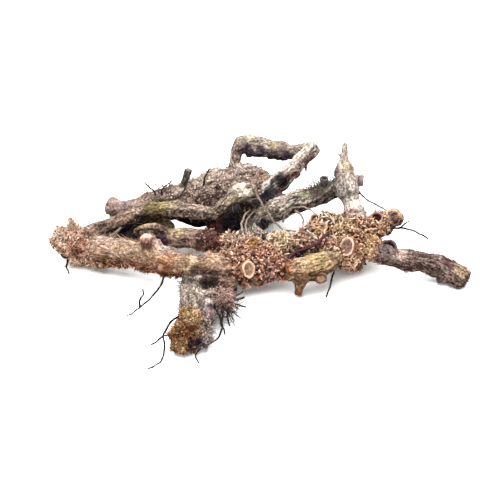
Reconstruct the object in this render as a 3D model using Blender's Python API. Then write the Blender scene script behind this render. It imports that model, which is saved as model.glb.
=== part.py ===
"""A polypody root: the branching, creeping rhizome of a polypody fern, dug up and dried.

It grew as one piece, so it is one solid. Its stems carry round leaf scars, mats of papery scales and wiry
rootlets. The tables give places in millimetres, +Z up, with the surface it lies on at z = 0.
"""

import math
import random

import bmesh
import bpy
from mathutils import Vector, noise
from mathutils.kdtree import KDTree

MM = 0.001

# Driving dimensions, in millimetres. Every girth below is a share of STEM_R.
STEM_R = 4.5
NODE_PITCH = 11.0
NODE_SWELL = 0.07
FLUTES = 5
FLUTE_DEPTH = 0.06
LUMP_SIZE = 6.5
LUMP_DEPTH = 0.17
ROOTLET_R = 0.55
ROOTLET_TIP_R = 0.43
SCALE_LENGTH = 4.8
SCALE_WIDTH = 3.0
SCALE_THICKNESS = 1.0
SCALE_SUNK = 1.5
SCALE_TURN_Z = 0.2
FLOOR_GAP = 0.4
CUP_WALL = 0.3
SHALLOW_CUP = 0.25
RIM_HEIGHT = 0.5
FLAKE_SIZE = 4.4
FLAKE_DEPTH = 1.25
FLAKE_TILT = 0.7
MAT_REACH = 1.3
MAT_EDGE = 1.5
CUTTER_SIDE = 400.0

# How a stem rounds off: how far out each ring of its end is, and how wide, as shares of its radius and of
# its last ring.
DOME = ((0.35, 0.93), (0.62, 0.72), (0.78, 0.4))

# How finely the solid is cut.
STEM_SIDES = 18
RING_STEP = 1.6
SKIN_VOXEL = 0.8
SKIN_TRIANGLES = 5150
SCAR_SIDES = 8
ROOTLET_STEP = 6.0
SEED = 11

# Moves the tables so that the origin is under the middle of the whole root.
CENTRE = Vector((-2.4, 5.1, 0.0))

# Stems: points of x, y, z and girth along each centre line.
STEMS = {
    "front": [(-87.9, 17.8, 12, 0.97), (-84.4, 16.9, 10.5, 1.65), (-79, 14.7, 9.4, 1.75),
              (-72.3, 10.1, 9.4, 1.45), (-60.2, 6.2, 10, 1.34), (-46.2, -2, 12, 1.3),
              (-37.3, -9.6, 13, 1.21), (-29.2, -12.7, 14, 1.06), (-20.5, -13.6, 14, 1.11),
              (-12.2, -10.5, 13, 1.48), (-4.3, -7.8, 12, 1.82), (3.7, -6.8, 11, 1.59),
              (9.1, -9.4, 10.5, 1.02)],
    "front_right": [(13.6, -13, 12, 1.11), (17.4, -11.8, 11.8, 1.18), (20.8, -10.5, 12.1, 1.16),
                    (24.7, -8, 12.4, 1.09), (28.2, -5, 12.4, 1), (30, -3, 12.3, 0.89)],
    "upper_right": [(-12.4, 5.6, 13, 1.14), (-5.1, 1.6, 14.4, 1.23), (3, 2.5, 14.4, 1.17),
                    (12, 5.6, 14.2, 1.16), (19.8, 8.5, 14.6, 1.29), (28, 16, 15.6, 1.5),
                    (36.4, 18.3, 15.4, 1.7)],
    "right_clump": [(31, 2, 13, 1.2), (37, 7, 12, 2), (44, 13, 14, 1.9), (50, 19, 16, 1.3),
                    (55, 23, 17, 1.05), (59, 25, 18, 1)],
    "right_arm": [(43.1, 7.4, 13, 0.96), (47.6, 4.7, 12.5, 0.95), (53, 2.9, 11.5, 0.91),
                  (59.4, 1.7, 10.2, 0.97), (64.5, 1, 9.4, 1.01), (70, 0.7, 8.6, 0.97),
                  (75.2, 0.1, 7.2, 1.04), (79.8, -1.3, 5.8, 1.06), (83.7, -4.3, 4.8, 1.04),
                  (86.7, -6.6, 3.9, 0.98)],
    "bowed": [(-80, 20.2, 10, 0.98), (-71.5, 23.5, 12, 0.88), (-62.3, 25.9, 15, 0.83),
              (-54, 28.9, 18, 0.85), (-45.4, 28, 20, 0.81), (-36.1, 27.8, 20, 0.79),
              (-27.7, 28.3, 19, 0.75), (-22, 29, 17.6, 0.69), (-18.5, 29.8, 19, 0.65),
              (-15.4, 31.1, 21.5, 0.67), (-12.3, 33.3, 24, 0.79), (-9.1, 34, 25.5, 0.95),
              (-5.1, 34, 25.8, 0.97)],
    "bowed_foot": [(-21, 31, 18, 0.7), (-21, 30, 12, 0.75), (-20, 29, 7, 0.8)],
    "knob_leg": [(-6.5, 35, 24, 0.9), (-6, 37, 18, 0.8), (-5, 38, 12, 0.85)],
    "inner": [(-76, 18, 9, 0.9), (-66, 23, 8.5, 0.8), (-57, 26, 8, 0.85), (-48, 27, 8.5, 0.95),
              (-40, 24, 8.6, 0.95), (-32, 22, 9, 0.95), (-25, 19, 9.4, 1.05), (-17, 14, 10, 1.2),
              (-9, 6, 12, 1.4), (-4, -2, 13, 1.5)],
    "torn_flap": [(-55, 22, 11.5, 0.3), (-53.9, 20.8, 14.2, 0.26), (-50.8, 20.8, 15.4, 0.31),
                  (-47.3, 21.1, 15.4, 0.33), (-44.4, 22.5, 14, 0.31), (-42.2, 22.6, 12, 0.32)],
    "back": [(-70.7, 64.4, 3.5, 0.98), (-61.6, 59.5, 5.6, 0.88), (-52.4, 57.9, 9.4, 0.98),
             (-42.2, 60, 11, 1.08), (-32.4, 62.2, 12, 1.36), (-20.3, 66.2, 13, 1.73),
             (-9.2, 69.1, 14, 2.03), (-0.4, 69.9, 13.6, 1.69), (5.7, 69.5, 13, 1.27)],
    "back_fill": [(-26, 58, 10, 1), (-16, 55, 11, 1.4), (-7, 57, 11, 1.5), (1, 62, 12, 1.4)],
    "loop": [(-12.7, 70, 18.5, 0.67), (-11.8, 72, 23.8, 0.63), (-10.6, 74, 28.6, 0.65),
             (-8, 75, 31.3, 0.99), (-4.2, 75, 30.8, 1.09), (0.5, 74.5, 30, 1.03), (5.2, 74, 29.5, 1.01),
             (10.4, 73, 29.1, 0.96), (15.5, 72, 29, 0.79), (20.2, 71, 29.9, 0.79), (25.3, 70, 30.8, 0.9)],
    "loop_leg": [(24, 70, 31, 0.85), (18.5, 63.5, 27.5, 0.75), (13, 60, 23, 0.85), (7, 60, 17, 1),
                 (1, 61, 11, 1.1), (-4, 62, 4.6, 1.3)],
    "right_back": [(38.6, 56.8, 39, 0.26), (38.3, 53.9, 36.8, 0.38), (38, 51.3, 34, 0.46),
                   (38, 48, 32, 0.8), (38.4, 45.6, 28.6, 1.08), (39.1, 42.9, 24.4, 1.14),
                   (40.5, 41, 19.8, 1), (42.1, 36.5, 16, 1.06), (43.2, 26.1, 14.2, 1.18)],
    "right_inner": [(38, 46, 24, 0.85), (30, 47, 20, 0.95), (24, 45, 18.3, 1), (15, 44, 16.3, 1.05),
                    (6, 41, 13, 1), (0, 37, 10.8, 0.95), (-3, 31, 8.6, 0.85), (0, 25, 6, 0.8)],
    "inner_link": [(12, 46, 14, 0.9), (7, 53, 13, 1), (3, 62, 11, 1)],
    "under_knob": [(-21, 31, 12, 0.75), (-16, 38, 9.6, 1.2), (-9, 43, 9.6, 1.35), (-3, 47, 10, 1.3),
                   (3, 55, 10, 1.1)],
    "under_front": [(-24.2, -13.9, 13, 0.74), (-26.1, -18.9, 10.6, 0.96), (-27.9, -26.3, 9.6, 1.18),
                    (-27.6, -34.2, 8.6, 1.11), (-27.7, -41.5, 7.4, 1.06), (-28.7, -48.2, 6.4, 1.15),
                    (-30.3, -55, 5.8, 1.36), (-31.7, -58.5, 4.6, 0.94)],
    "root_crown": [(-25.7, -30.9, 9, 0.72), (-21.7, -30.5, 9, 0.86), (-17.2, -30.5, 9, 0.9),
                   (-13.6, -30.6, 8.6, 0.77)],
    "back_stick": [(-36.1, 61, 13, 0.5), (-35.5, 60.5, 18, 0.34), (-34.3, 60, 22.2, 0.34),
                   (-33.2, 60, 25.4, 0.38)],
    "under_bowed": [(-46, 30, 17.5, 0.4), (-42.5, 35, 15, 0.42), (-38, 35.7, 14.6, 0.54),
                    (-33.5, 35.2, 13.6, 0.66), (-29, 34.7, 12.6, 0.74), (-24.5, 34.9, 12, 0.7),
                    (-21.3, 33.9, 12, 0.65)],
    "between": [(-63, 27.5, 10.5, 0.6), (-59.3, 30.4, 12, 0.56), (-54, 32.4, 13, 0.64),
                (-48.6, 31.6, 13.4, 0.6), (-43.7, 31.6, 12.4, 0.6), (-40.5, 29.4, 10.5, 0.58)],
    "front_lobe": [(-22, -33.3, 9, 0.42), (-21, -39.5, 8, 0.47), (-21.1, -46.3, 6.6, 0.51),
                   (-21.9, -51.8, 5.4, 0.64), (-23.3, -56.1, 4.4, 0.58)],
    "front_collar": [(-30, -17, 10.5, 0.7), (-23.5, -20.5, 10.8, 0.95), (-17.5, -23, 10.6, 0.95),
                     (-12.5, -23, 10.8, 0.7)],
}

# Stems that end in a clean cut or break, at these ends.
CUT_ENDS = {
    "right_arm": "last",
    "back": "first",
    "loop": "last",
    "front_right": "first",
    "back_stick": "last",
}

# Stems with a matted surface, which bulges by this share of their girth.
MATTED = {"upper_right": 0.34, "right_clump": 0.3, "back": 0.34, "back_fill": 0.36, "under_front": 0.24,
          "root_crown": 0.34}

# Leaf scars and stubs: base, tip, radius at the base and tip, and depth of the cup in the tip.
SCARS = {
    "front_top": [(-47.5, -0.9, 13), (-47.7, -0.9, 22.2), 3.7, 2.9, 0.3],
    "centre_scar": [(-9.4, -12.7, 12.9), (-5.1, -17.5, 15.3), 4.1, 3.5, 0.9],
    "right_scar": [(40.4, 3.4, 14.7), (36.1, -2, 17.7), 4.6, 4, 0.9],
    "right_low": [(24.5, -8.5, 10.4), (24.7, -14.8, 9.2), 3.2, 2.5, 0.9],
    "right_foot": [(16.5, -11.5, 10), (15.5, -14.4, 1.1), 4.5, 1.7, 0.3],
    "broken_face": [(15.2, -11.8, 12.2), (10.8, -13.6, 12), 5, 3.9, 0.3],
    "upper_tube": [(25.6, 19, 16), (23.1, 13.6, 22.9), 3.2, 2.6, 2.2],
    "far_right_cup": [(55, 24.7, 17.6), (58.4, 20.2, 19.8), 3.5, 3.1, 1.3],
    "arm_scar": [(54.6, 4.6, 11.5), (54.1, 0.9, 15.8), 4.3, 3.6, 1.3],
    "arm_nub": [(76, -1.5, 7), (76.2, -4.6, 1.4), 2.4, 1.3, 0.2],
    "loop_scar": [(14.5, 62, 25), (16.2, 57.6, 23.6), 3.2, 2.7, 0.9],
    "loop_nub": [(21, 67, 29), (21.6, 66, 21.4), 2.4, 0.8, 0.1],
    "tip_left": [(38, 46.5, 29.5), (34.3, 45, 30.1), 2.7, 2.2, 0.7],
    "tip_right": [(41, 45.5, 27), (46.4, 45, 26.4), 2.9, 2.5, 0.7],
    "tip_prong": [(38, 52, 34.5), (34.9, 52, 37.1), 1.3, 0.6, 0.1],
    "inner_curl": [(29, 47, 20), (28.8, 46, 27.4), 2.4, 1.8, 0.8],
    "front_nub": [(-67, 8, 9), (-69, 1.6, 5.6), 2.6, 1.1, 0.2],
    "front_bump": [(-22, -13, 14), (-21.5, -12.5, 20.6), 2.6, 1.5, 0.3],
    "left_tip": [(-80, 16, 12), (-83.2, 18, 21.4), 4.4, 1, 0.1],
    "loop_under_1": [(-5.4, 74, 30), (-5.2, 72.5, 25.7), 2.6, 1.5, 0.2],
    "loop_under_2": [(4.7, 73, 29), (4.7, 71.5, 25.2), 2.4, 1.4, 0.2],
    "loop_under_3": [(11.3, 72, 29), (11.3, 70.5, 24.8), 2.6, 1.6, 0.2],
    "upper_hole": [(30.5, 13, 16), (28.3, 8.9, 20.6), 2.2, 1.5, 0.9],
    "loop_top": [(-4.5, 75, 31), (-4.7, 75, 36.2), 3.9, 2.9, 0.3],
    "front_flare": [(-41, -5.2, 13), (-44.6, -1.8, 20.4), 4.4, 2.3, 0.1],
    "far_left_cup": [(51, 21.5, 16.5), (50, 16.6, 22), 3.4, 2.8, 1.3],
}

# Mats of scales: the stem, the stretch of it from and to, as shares of its length, how many scales stand out
# of the mat, and the side of the stem that it covers.
MATS = [
    ("front", 0.0, 0.16, 22, "round"),
    ("front", 0.22, 0.6, 20, "below"),
    ("front", 0.76, 1.0, 24, "round"),
    ("upper_right", 0.0, 1.0, 26, "round"),
    ("right_clump", 0.05, 0.8, 26, "round"),
    ("back", 0.4, 1.0, 12, "round"),
    ("back_fill", 0.1, 1.0, 6, "round"),
    ("under_front", 0.6, 1.0, 16, "round"),
    ("root_crown", 0.2, 1.0, 6, "round"),
    ("inner", 0.7, 0.95, 5, "round"),
]

# Wiry rootlets: points along each.
ROOTLETS = {
    "left_low": [(-38.5, -10.5, 12.5), (-40.2, -14.6, 10.5), (-41.4, -17, 8), (-43.2, -18.4, 6),
                 (-45.7, -19.8, 3), (-48.5, -22.6, 1.5), (-51.8, -27.3, 1.2), (-55.2, -31.3, 1)],
    "left_low_fork": [(-50, -24.8, 1.6), (-49.9, -22.3, 3.5), (-48.8, -19.3, 4.6), (-49.5, -17.5, 6)],
    "front_left": [(-31.2, -43.4, 9), (-34.2, -46.1, 9), (-36.4, -48.6, 8), (-37.5, -50.6, 6.5),
                   (-38.5, -52, 4.6), (-38.1, -56.7, 3), (-38.3, -62.3, 2), (-40.2, -66.7, 1.2),
                   (-43.8, -69.8, 1)],
    "front_fork": [(-38.1, -51.9, 5), (-40.7, -51.8, 2.6), (-43.4, -53.9, 1.2)],
    "front_right": [(-19.2, -34.8, 8), (-15.8, -43.8, 6), (-16.3, -49.1, 4.2), (-18, -52.7, 3.2),
                    (-21.8, -55.8, 2.6), (-24.8, -58.4, 2), (-25.7, -61.7, 1.6), (-24.2, -65.7, 1)],
    "crown_1": [(-14.4, -30.1, 9), (-10.8, -29.5, 9.6), (-7.1, -25.9, 9.6)],
    "crown_2": [(-14.4, -30.8, 8), (-10.4, -29.3, 7.6), (-6.7, -26.5, 7.4)],
    "crown_3": [(-14.4, -30.7, 7), (-10, -29.5, 5.6), (-5.9, -29.9, 4.4)],
    "crown_4": [(-16.4, -32.3, 7.5), (-15.8, -35.7, 4.8), (-15.9, -39.6, 2), (-14.8, -44.9, 1.1)],
    "crown_5": [(-14.4, -32.3, 7), (-13.6, -35.8, 4.4), (-12.9, -39.3, 1.4)],
    "left_end": [(-83.2, 8.6, 6.5), (-85.8, 9, 7), (-88.5, 12.9, 7.4), (-90.5, 15.4, 7.8),
                 (-92.3, 17.1, 8.4)],
    "left_end_low": [(-84.2, 12.3, 5), (-84.4, 9, 2.8), (-83, 4.5, 1.1)],
    "far_right": [(51, 14.9, 14), (54.6, 16.5, 15.6), (57.2, 17.4, 16.6), (60.6, 17, 17), (64, 16.1, 16.8),
                  (67.5, 15.2, 16), (70, 13.9, 15), (72.4, 12, 14)],
    "far_right_fork": [(59.7, 16.2, 17), (62.4, 17.6, 18), (65, 18.7, 19.4)],
    "right_low": [(31.8, -2.3, 9), (30.7, -4.6, 6.4), (29.8, -7.1, 4.4), (28.6, -10.4, 2.4),
                  (27.1, -15.7, 1.1)],
    "crossing": [(-4.7, 34, 30), (-3.2, 33, 28.5), (-1.8, 30, 27), (-0.3, 26, 25.5), (1.6, 21, 24.3),
                 (4, 16, 22.7), (6.5, 11.4, 21.2), (9.8, 7.9, 20.6), (14.1, 6.9, 20.4), (17.5, 5.7, 20.6),
                 (20.3, 3, 20.8), (23.1, 0.4, 19)],
    "arch": [(10, 30, 13.2), (11.1, 29, 17.9), (13.6, 27, 21.4), (17.2, 24.5, 23.4), (20.6, 21.5, 24.2),
             (23.9, 18, 23.1), (27.7, 14.5, 21), (31.5, 12, 19.4)],
    "stick_root": [(-46.2, 34, 21.9), (-42, 38, 20), (-38.4, 44, 17.9), (-36, 52, 16.6), (-34.9, 57, 17.8),
                   (-34, 59.5, 21.2)],
    "middle_1": [(-7.9, 6, 20.5), (-8.2, 14, 20.8), (-6.7, 24, 20.2), (-4.3, 36, 16.7)],
    "middle_2": [(15.6, 33, 17.4), (17.9, 27, 17.7), (18.8, 21, 17.2), (17.7, 12, 18.4)],
    "middle_3": [(-6.2, 7, 19.5), (-6.4, 16, 19.3), (-5.1, 26, 18.2), (-2.4, 37, 15.5)],
    "right_back_1": [(43.3, 43.8, 23), (46.1, 38.5, 22), (48, 35.1, 21.4), (51, 33.2, 20.6),
                     (54.3, 29.8, 20), (57.2, 27.1, 18.6)],
    "left_back_1": [(-48, 59, 11), (-50, 54, 18), (-53, 52, 22.6)],
    "left_back_2": [(-46, 59, 12), (-45, 53, 19), (-41, 55, 21.6)],
    "left_back_3": [(-27, 61, 15), (-25, 53, 25), (-23, 51, 30)],
    "cross_root": [(8.5, -8.5, 12), (12.5, -5.5, 15.1), (15.9, -3.5, 16.4), (19.3, -2.5, 17.3),
                   (22.7, -1.5, 18.4), (25.3, 0.5, 19.6), (27.5, 3, 20.6), (28.9, 5, 20.2)],
    "between_stick": [(-67, 12.4, 12), (-64.7, 14, 14), (-63.1, 16, 14.9), (-61.1, 19, 15.8)],
}


def curve_at(a, b, c, d, t):
    """The value at a share t of the way from b to c, on a smooth curve through a, b, c and d."""
    square = (2 * a - 5 * b + 4 * c - d) * t ** 2
    cube = (3 * b - a - 3 * c + d) * t ** 3
    return 0.5 * (2 * b + (c - a) * t + square + cube)


def spline(points, step):
    """Points every step along a smooth curve through the given ones, each of which may carry a girth too."""
    rows = [list(p) for p in points]
    before = [2 * a - b for a, b in zip(rows[0], rows[1])]
    after = [2 * a - b for a, b in zip(rows[-1], rows[-2])]
    rows = [before, *rows, after]
    found = []
    for p0, p1, p2, p3 in zip(rows, rows[1:], rows[2:], rows[3:]):
        pieces = max(1, round(math.dist(p1[:3], p2[:3]) / step))
        for i in range(pieces):
            t = i / pieces
            found.append([curve_at(*four, t) for four in zip(p0, p1, p2, p3)])
    found.append(rows[-2])
    return [(Vector(row[:3]), row[3] if len(row) > 3 else 1.0) for row in found]


def frames(path):
    """A tangent and two directions across it at each point of a path, carried along without twist."""
    last = len(path) - 1
    tangents = [
        (path[min(i + 1, last)][0] - path[max(i - 1, 0)][0]).normalized() for i in range(len(path))
    ]
    across = tangents[0].orthogonal().normalized()
    found = []
    for tangent in tangents:
        across = (across - tangent * across.dot(tangent)).normalized()
        found.append((tangent, across, tangent.cross(across)))
    return found


def stem_radius(centre, along, angle, girth, lumps):
    """The radius of a stem in one direction: swollen at its nodes, fluted, and lumpy."""
    swell = NODE_SWELL * math.cos(2 * math.pi * along / NODE_PITCH)
    flute = FLUTE_DEPTH * math.cos(FLUTES * angle + along / NODE_PITCH)
    spot = centre / LUMP_SIZE + Vector((math.cos(angle), math.sin(angle), 0.0))
    return STEM_R * girth * (1 + swell + flute + lumps * noise.noise(spot))


def solid_from_rings(name, rings, material):
    """A closed mesh object skinned over rings of points, with each end closed to the middle of its ring."""
    mesh = bmesh.new()
    rows = [[mesh.verts.new(p * MM) for p in ring] for ring in rings]
    for low, high in zip(rows, rows[1:]):
        for i in range(len(low)):
            j = (i + 1) % len(low)
            mesh.faces.new((low[i], low[j], high[j], high[i]))
    for row, turned in ((rows[0], True), (rows[-1], False)):
        middle = mesh.verts.new(sum((v.co for v in row), Vector()) / len(row))
        for i in range(len(row)):
            pair = (row[i], row[(i + 1) % len(row)])
            mesh.faces.new((*(reversed(pair) if turned else pair), middle))
    bmesh.ops.triangulate(mesh, faces=mesh.faces)
    bmesh.ops.recalc_face_normals(mesh, faces=mesh.faces)
    data = bpy.data.meshes.new(name)
    mesh.to_mesh(data)
    mesh.free()
    data.materials.append(material)
    return bpy.data.objects.new(name, data)


def stem(name, points, material):
    """One stem, closed by domed ends, or by flat ones where it was cut."""
    path = spline(points, RING_STEP)
    turns = [2 * math.pi * i / STEM_SIDES for i in range(STEM_SIDES)]
    lumps = MATTED.get(name, LUMP_DEPTH)
    rings = []
    along = 0.0
    for i, ((centre, girth), (tangent, across, over)) in enumerate(zip(path, frames(path))):
        along += (centre - path[max(i - 1, 0)][0]).length
        radii = [stem_radius(centre, along, angle, girth, lumps) for angle in turns]
        rings.append([
            centre + (across * math.cos(a) + over * math.sin(a)) * r for a, r in zip(turns, radii)
        ])
    for end, row, sign in (("first", 0, -1), ("last", -1, 1)):
        if CUT_ENDS.get(name) == end:
            continue
        centre, girth = path[row]
        tangent = frames(path)[row][0]
        edge = rings[row]
        dome = [
            [centre + (p - centre) * narrow + tangent * sign * out * STEM_R * girth for p in edge]
            for out, narrow in DOME
        ]
        rings = list(reversed(dome)) + rings if end == "first" else rings + dome
    return solid_from_rings(name, rings, material)


def scar(name, base, tip, base_r, tip_r, cup, material):
    """A leaf stub: a short flared post with a cupped, round-rimmed end."""
    base, tip = Vector(base), Vector(tip)
    axis = (tip - base).normalized()
    across = axis.orthogonal().normalized()
    over = axis.cross(across)
    long = (tip - base).length
    profile = [
        (0, base_r),
        (long / 2, (base_r + tip_r) / 2),
        (long - RIM_HEIGHT, tip_r),
        (long, tip_r * (1 - CUP_WALL / 3)),
    ]
    if cup > SHALLOW_CUP:
        profile.append((long - RIM_HEIGHT / 3, tip_r * (1 - CUP_WALL)))
        profile.append((long - cup, tip_r * (1 - 1.6 * CUP_WALL)))
    turns = [2 * math.pi * i / SCAR_SIDES for i in range(SCAR_SIDES)]
    rings = [
        [base + axis * out + (across * math.cos(a) + over * math.sin(a)) * r for a in turns]
        for out, r in profile
    ]
    return solid_from_rings(name, rings, material)


def rootlet(name, points, material):
    """A thin four-sided root, tapered to its tip."""
    path = spline(points, ROOTLET_STEP)
    rings = []
    for i, ((centre, _), (_, across, over)) in enumerate(zip(path, frames(path))):
        r = ROOTLET_R + (ROOTLET_TIP_R - ROOTLET_R) * i / (len(path) - 1)
        rings.append([centre + across * r, centre + over * r, centre - across * r, centre - over * r])
    return solid_from_rings(name, rings, material)


def scale(name, base, out, along, draw, material):
    """One papery scale: a flat three-sided spike that leans over the stem any way, its foot sunk in it."""
    turn = draw.uniform(0, 2 * math.pi)
    lean = along * math.cos(turn) + out.cross(along) * math.sin(turn)
    aim = (out * draw.uniform(0.45, 1.1) + lean).normalized()
    flat = aim.cross(out).normalized()
    thin = flat.cross(aim)
    foot = base - out * SCALE_SUNK
    size = draw.uniform(0.8, 1.2)
    corners = [
        foot + flat * SCALE_WIDTH / 2 * size,
        foot - flat * SCALE_WIDTH / 2 * size,
        foot + thin * SCALE_THICKNESS,
        foot + aim * (SCALE_SUNK + SCALE_LENGTH * size),
    ]
    mesh = bmesh.new()
    made = [mesh.verts.new(p * MM) for p in corners]
    for face in ((0, 1, 2), (0, 3, 1), (1, 3, 2), (2, 3, 0)):
        mesh.faces.new([made[i] for i in face])
    bmesh.ops.recalc_face_normals(mesh, faces=mesh.faces)
    data = bpy.data.meshes.new(name)
    mesh.to_mesh(data)
    mesh.free()
    data.materials.append(material)
    return bpy.data.objects.new(name, data)


def mat_of_scales(index, stem_name, start, stop, count, side, draw, material):
    """The scales of one mat, set round the stem by the golden angle."""
    path = spline(STEMS[stem_name], 1.0)
    turned = frames(path)
    golden = math.pi * (3 - math.sqrt(5))
    found = []
    for i in range(count):
        at = start + (stop - start) * (i + draw.uniform(0, 0.9)) / count
        row = min(int(at * len(path)), len(path) - 1)
        centre, girth = path[row]
        tangent, across, over = turned[row]
        angle = i * golden
        out = across * math.cos(angle) + over * math.sin(angle)
        base = centre + out * STEM_R * girth * (1 - NODE_SWELL)
        if side == "below" and out.z > 0:
            continue
        if base.z > 2 * SCALE_SUNK or out.z > SCALE_TURN_Z:
            found.append(scale(f"scale_{index}_{i}", base, out, tangent, draw, material))
    return [s for s in found if lowest(s) > FLOOR_GAP * MM]


def lowest(obj):
    return min(v.co.z for v in obj.data.vertices)


def applied(obj):
    """The object with its modifiers made part of its mesh."""
    bpy.context.view_layer.update()
    graph = bpy.context.evaluated_depsgraph_get()
    data = bpy.data.meshes.new_from_object(obj.evaluated_get(graph))
    obj.modifiers.clear()
    obj.data = data
    return obj


def keep_outer_skin(obj):
    """Drops every shell but the largest, such as one round a hollow that fusing sealed."""
    mesh = bmesh.new()
    mesh.from_mesh(obj.data)
    left = set(mesh.verts)
    shells = []
    while left:
        todo = [left.pop()]
        shell = set(todo)
        while todo:
            for edge in todo.pop().link_edges:
                for v in edge.verts:
                    if v in left:
                        left.discard(v)
                        shell.add(v)
                        todo.append(v)
        shells.append(shell)
    largest = max(shells, key=len)
    others = [v for shell in shells if shell is not largest for v in shell]
    bmesh.ops.delete(mesh, geom=others, context="VERTS")
    mesh.to_mesh(obj.data)
    mesh.free()


def mat_points():
    """Points along the stems inside each mat, with how far each mat reaches and whether it is only below."""
    found = []
    for name, start, stop, _, side in MATS:
        path = spline(STEMS[name], 1.5)
        inside = path[int(start * len(path)):max(int(stop * len(path)), 1)]
        found += [(centre, MAT_REACH * STEM_R * girth, side == "below") for centre, girth in inside]
    return found


def raise_flakes(obj):
    """Raises the surface of each mat in flat-topped, tilted flakes with crevices between them."""
    points = mat_points()
    tree = KDTree(len(points))
    for i, (centre, _, _) in enumerate(points):
        tree.insert(centre, i)
    tree.balance()
    mesh = obj.data
    moves = []
    for vertex in mesh.vertices:
        place = vertex.co / MM
        centre, nearest, distance = tree.find(place)
        _, reach, only_below = points[nearest]
        share = min(1.0, max(0.0, (reach - distance) / MAT_EDGE))
        if only_below:
            share *= min(1.0, max(0.0, (centre.z - place.z) / MAT_EDGE))
        (first, second, *_), (middle, *_) = noise.voronoi(place / FLAKE_SIZE)
        crevice = min(1.0, 3.0 * (second - first)) - 0.75
        tilt = noise.cell_vector(middle * 7.0).dot(place / FLAKE_SIZE - middle)
        moves.append(vertex.normal * share * FLAKE_DEPTH * (crevice + FLAKE_TILT * tilt) * MM)
    for vertex, move in zip(mesh.vertices, moves):
        vertex.co += move


def skin_of(stems):
    """All the stems fused into one skin, with few faces."""
    mesh = bmesh.new()
    for obj in stems:
        mesh.from_mesh(obj.data)
    data = bpy.data.meshes.new("rhizome")
    mesh.to_mesh(data)
    mesh.free()
    data.materials.append(stems[0].data.materials[0])
    skin = bpy.data.objects.new("rhizome", data)
    bpy.context.scene.collection.objects.link(skin)
    remesh = skin.modifiers.new("fuse", "REMESH")
    remesh.mode = "VOXEL"
    remesh.voxel_size = SKIN_VOXEL * MM
    applied(skin)
    keep_outer_skin(skin)
    raise_flakes(skin)
    thin = skin.modifiers.new("thin_out", "DECIMATE")
    thin.ratio = SKIN_TRIANGLES / (2 * len(skin.data.polygons))
    thin.use_collapse_triangulate = True
    return applied(skin)


def boolean(obj, operation, operands):
    """Joins the operands to obj, or cuts them from it, and removes them."""
    group = bpy.data.collections.new("operands")
    bpy.context.scene.collection.children.link(group)
    for operand in operands:
        group.objects.link(operand)
    step = obj.modifiers.new(operation.lower(), "BOOLEAN")
    step.operation = operation
    step.operand_type = "COLLECTION"
    step.collection = group
    applied(obj)
    for operand in operands:
        bpy.data.objects.remove(operand)
    bpy.data.collections.remove(group)


def floor_cutter():
    """A block below the surface that the root lies on, which leaves a small flat spot on each low point."""
    mesh = bmesh.new()
    bmesh.ops.create_cube(mesh, size=CUTTER_SIDE * MM)
    bmesh.ops.translate(mesh, verts=mesh.verts, vec=(0, 0, -CUTTER_SIDE / 2 * MM))
    data = bpy.data.meshes.new("floor_cutter")
    mesh.to_mesh(data)
    mesh.free()
    return bpy.data.objects.new("floor_cutter", data)


def material(name, colour, roughness):
    made = bpy.data.materials.new(name)
    made.use_nodes = True
    shader = made.node_tree.nodes["Principled BSDF"]
    shader.inputs["Base Color"].default_value = (*colour, 1.0)
    shader.inputs["Roughness"].default_value = roughness
    return made


def main():
    for obj in list(bpy.data.objects):
        bpy.data.objects.remove(obj)
    bark = material("bark", (0.23, 0.13, 0.07), 0.85)
    papery = material("scales", (0.42, 0.18, 0.07), 0.8)
    wiry = material("rootlets", (0.035, 0.028, 0.025), 0.7)
    cut = material("scars", (0.55, 0.32, 0.2), 0.8)

    rhizome = skin_of([stem(name, points, bark) for name, points in STEMS.items()])
    boolean(rhizome, "DIFFERENCE", [floor_cutter()])
    boolean(rhizome, "UNION", [scar(name, *row, cut) for name, row in SCARS.items()])
    boolean(rhizome, "UNION", [rootlet(name, points, wiry) for name, points in ROOTLETS.items()])
    draw = random.Random(SEED)
    scales = [s for i, row in enumerate(MATS) for s in mat_of_scales(i, *row, draw, papery)]
    boolean(rhizome, "UNION", scales)
    keep_outer_skin(rhizome)
    for vertex in rhizome.data.vertices:
        vertex.co -= CENTRE * MM


main()
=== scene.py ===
"""The looks of a dried polypody root: bark, mats of papery scales, fibres, leaf scars and wiry rootlets.

The tables repeat the part's own places, in millimetres. A mesh becomes metres when it is made.
"""

import math
from collections import namedtuple
from functools import cache
from itertools import product

import bpy
import numpy as np
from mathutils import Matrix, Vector, noise


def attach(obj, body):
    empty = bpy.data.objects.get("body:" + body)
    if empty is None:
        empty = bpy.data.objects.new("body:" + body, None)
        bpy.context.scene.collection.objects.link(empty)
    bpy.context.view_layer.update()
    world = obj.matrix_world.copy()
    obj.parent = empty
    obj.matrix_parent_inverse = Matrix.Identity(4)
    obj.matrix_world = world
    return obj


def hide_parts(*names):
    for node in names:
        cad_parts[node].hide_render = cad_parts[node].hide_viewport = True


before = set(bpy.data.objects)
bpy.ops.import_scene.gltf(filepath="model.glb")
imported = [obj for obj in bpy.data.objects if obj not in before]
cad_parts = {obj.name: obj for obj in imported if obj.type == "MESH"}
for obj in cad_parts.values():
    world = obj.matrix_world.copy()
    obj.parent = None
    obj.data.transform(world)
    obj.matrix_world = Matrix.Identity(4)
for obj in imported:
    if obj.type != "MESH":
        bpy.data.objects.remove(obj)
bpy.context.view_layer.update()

MM = 0.001

# The part's own dimensions, in millimetres. Every girth below is a share of STEM_R.
STEM_R = 4.5
NODE_PITCH = 11.0
NODE_SWELL = 0.07
FLUTES = 5
FLUTE_DEPTH = 0.06
LUMP_SIZE = 6.5
LUMP_DEPTH = 0.17
ROOTLET_R = 0.5
FLAKE_SIZE = 4.4
FLAKE_TILT = 0.7
CENTRE = np.array((-2.4, 5.1, 0.0))

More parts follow.
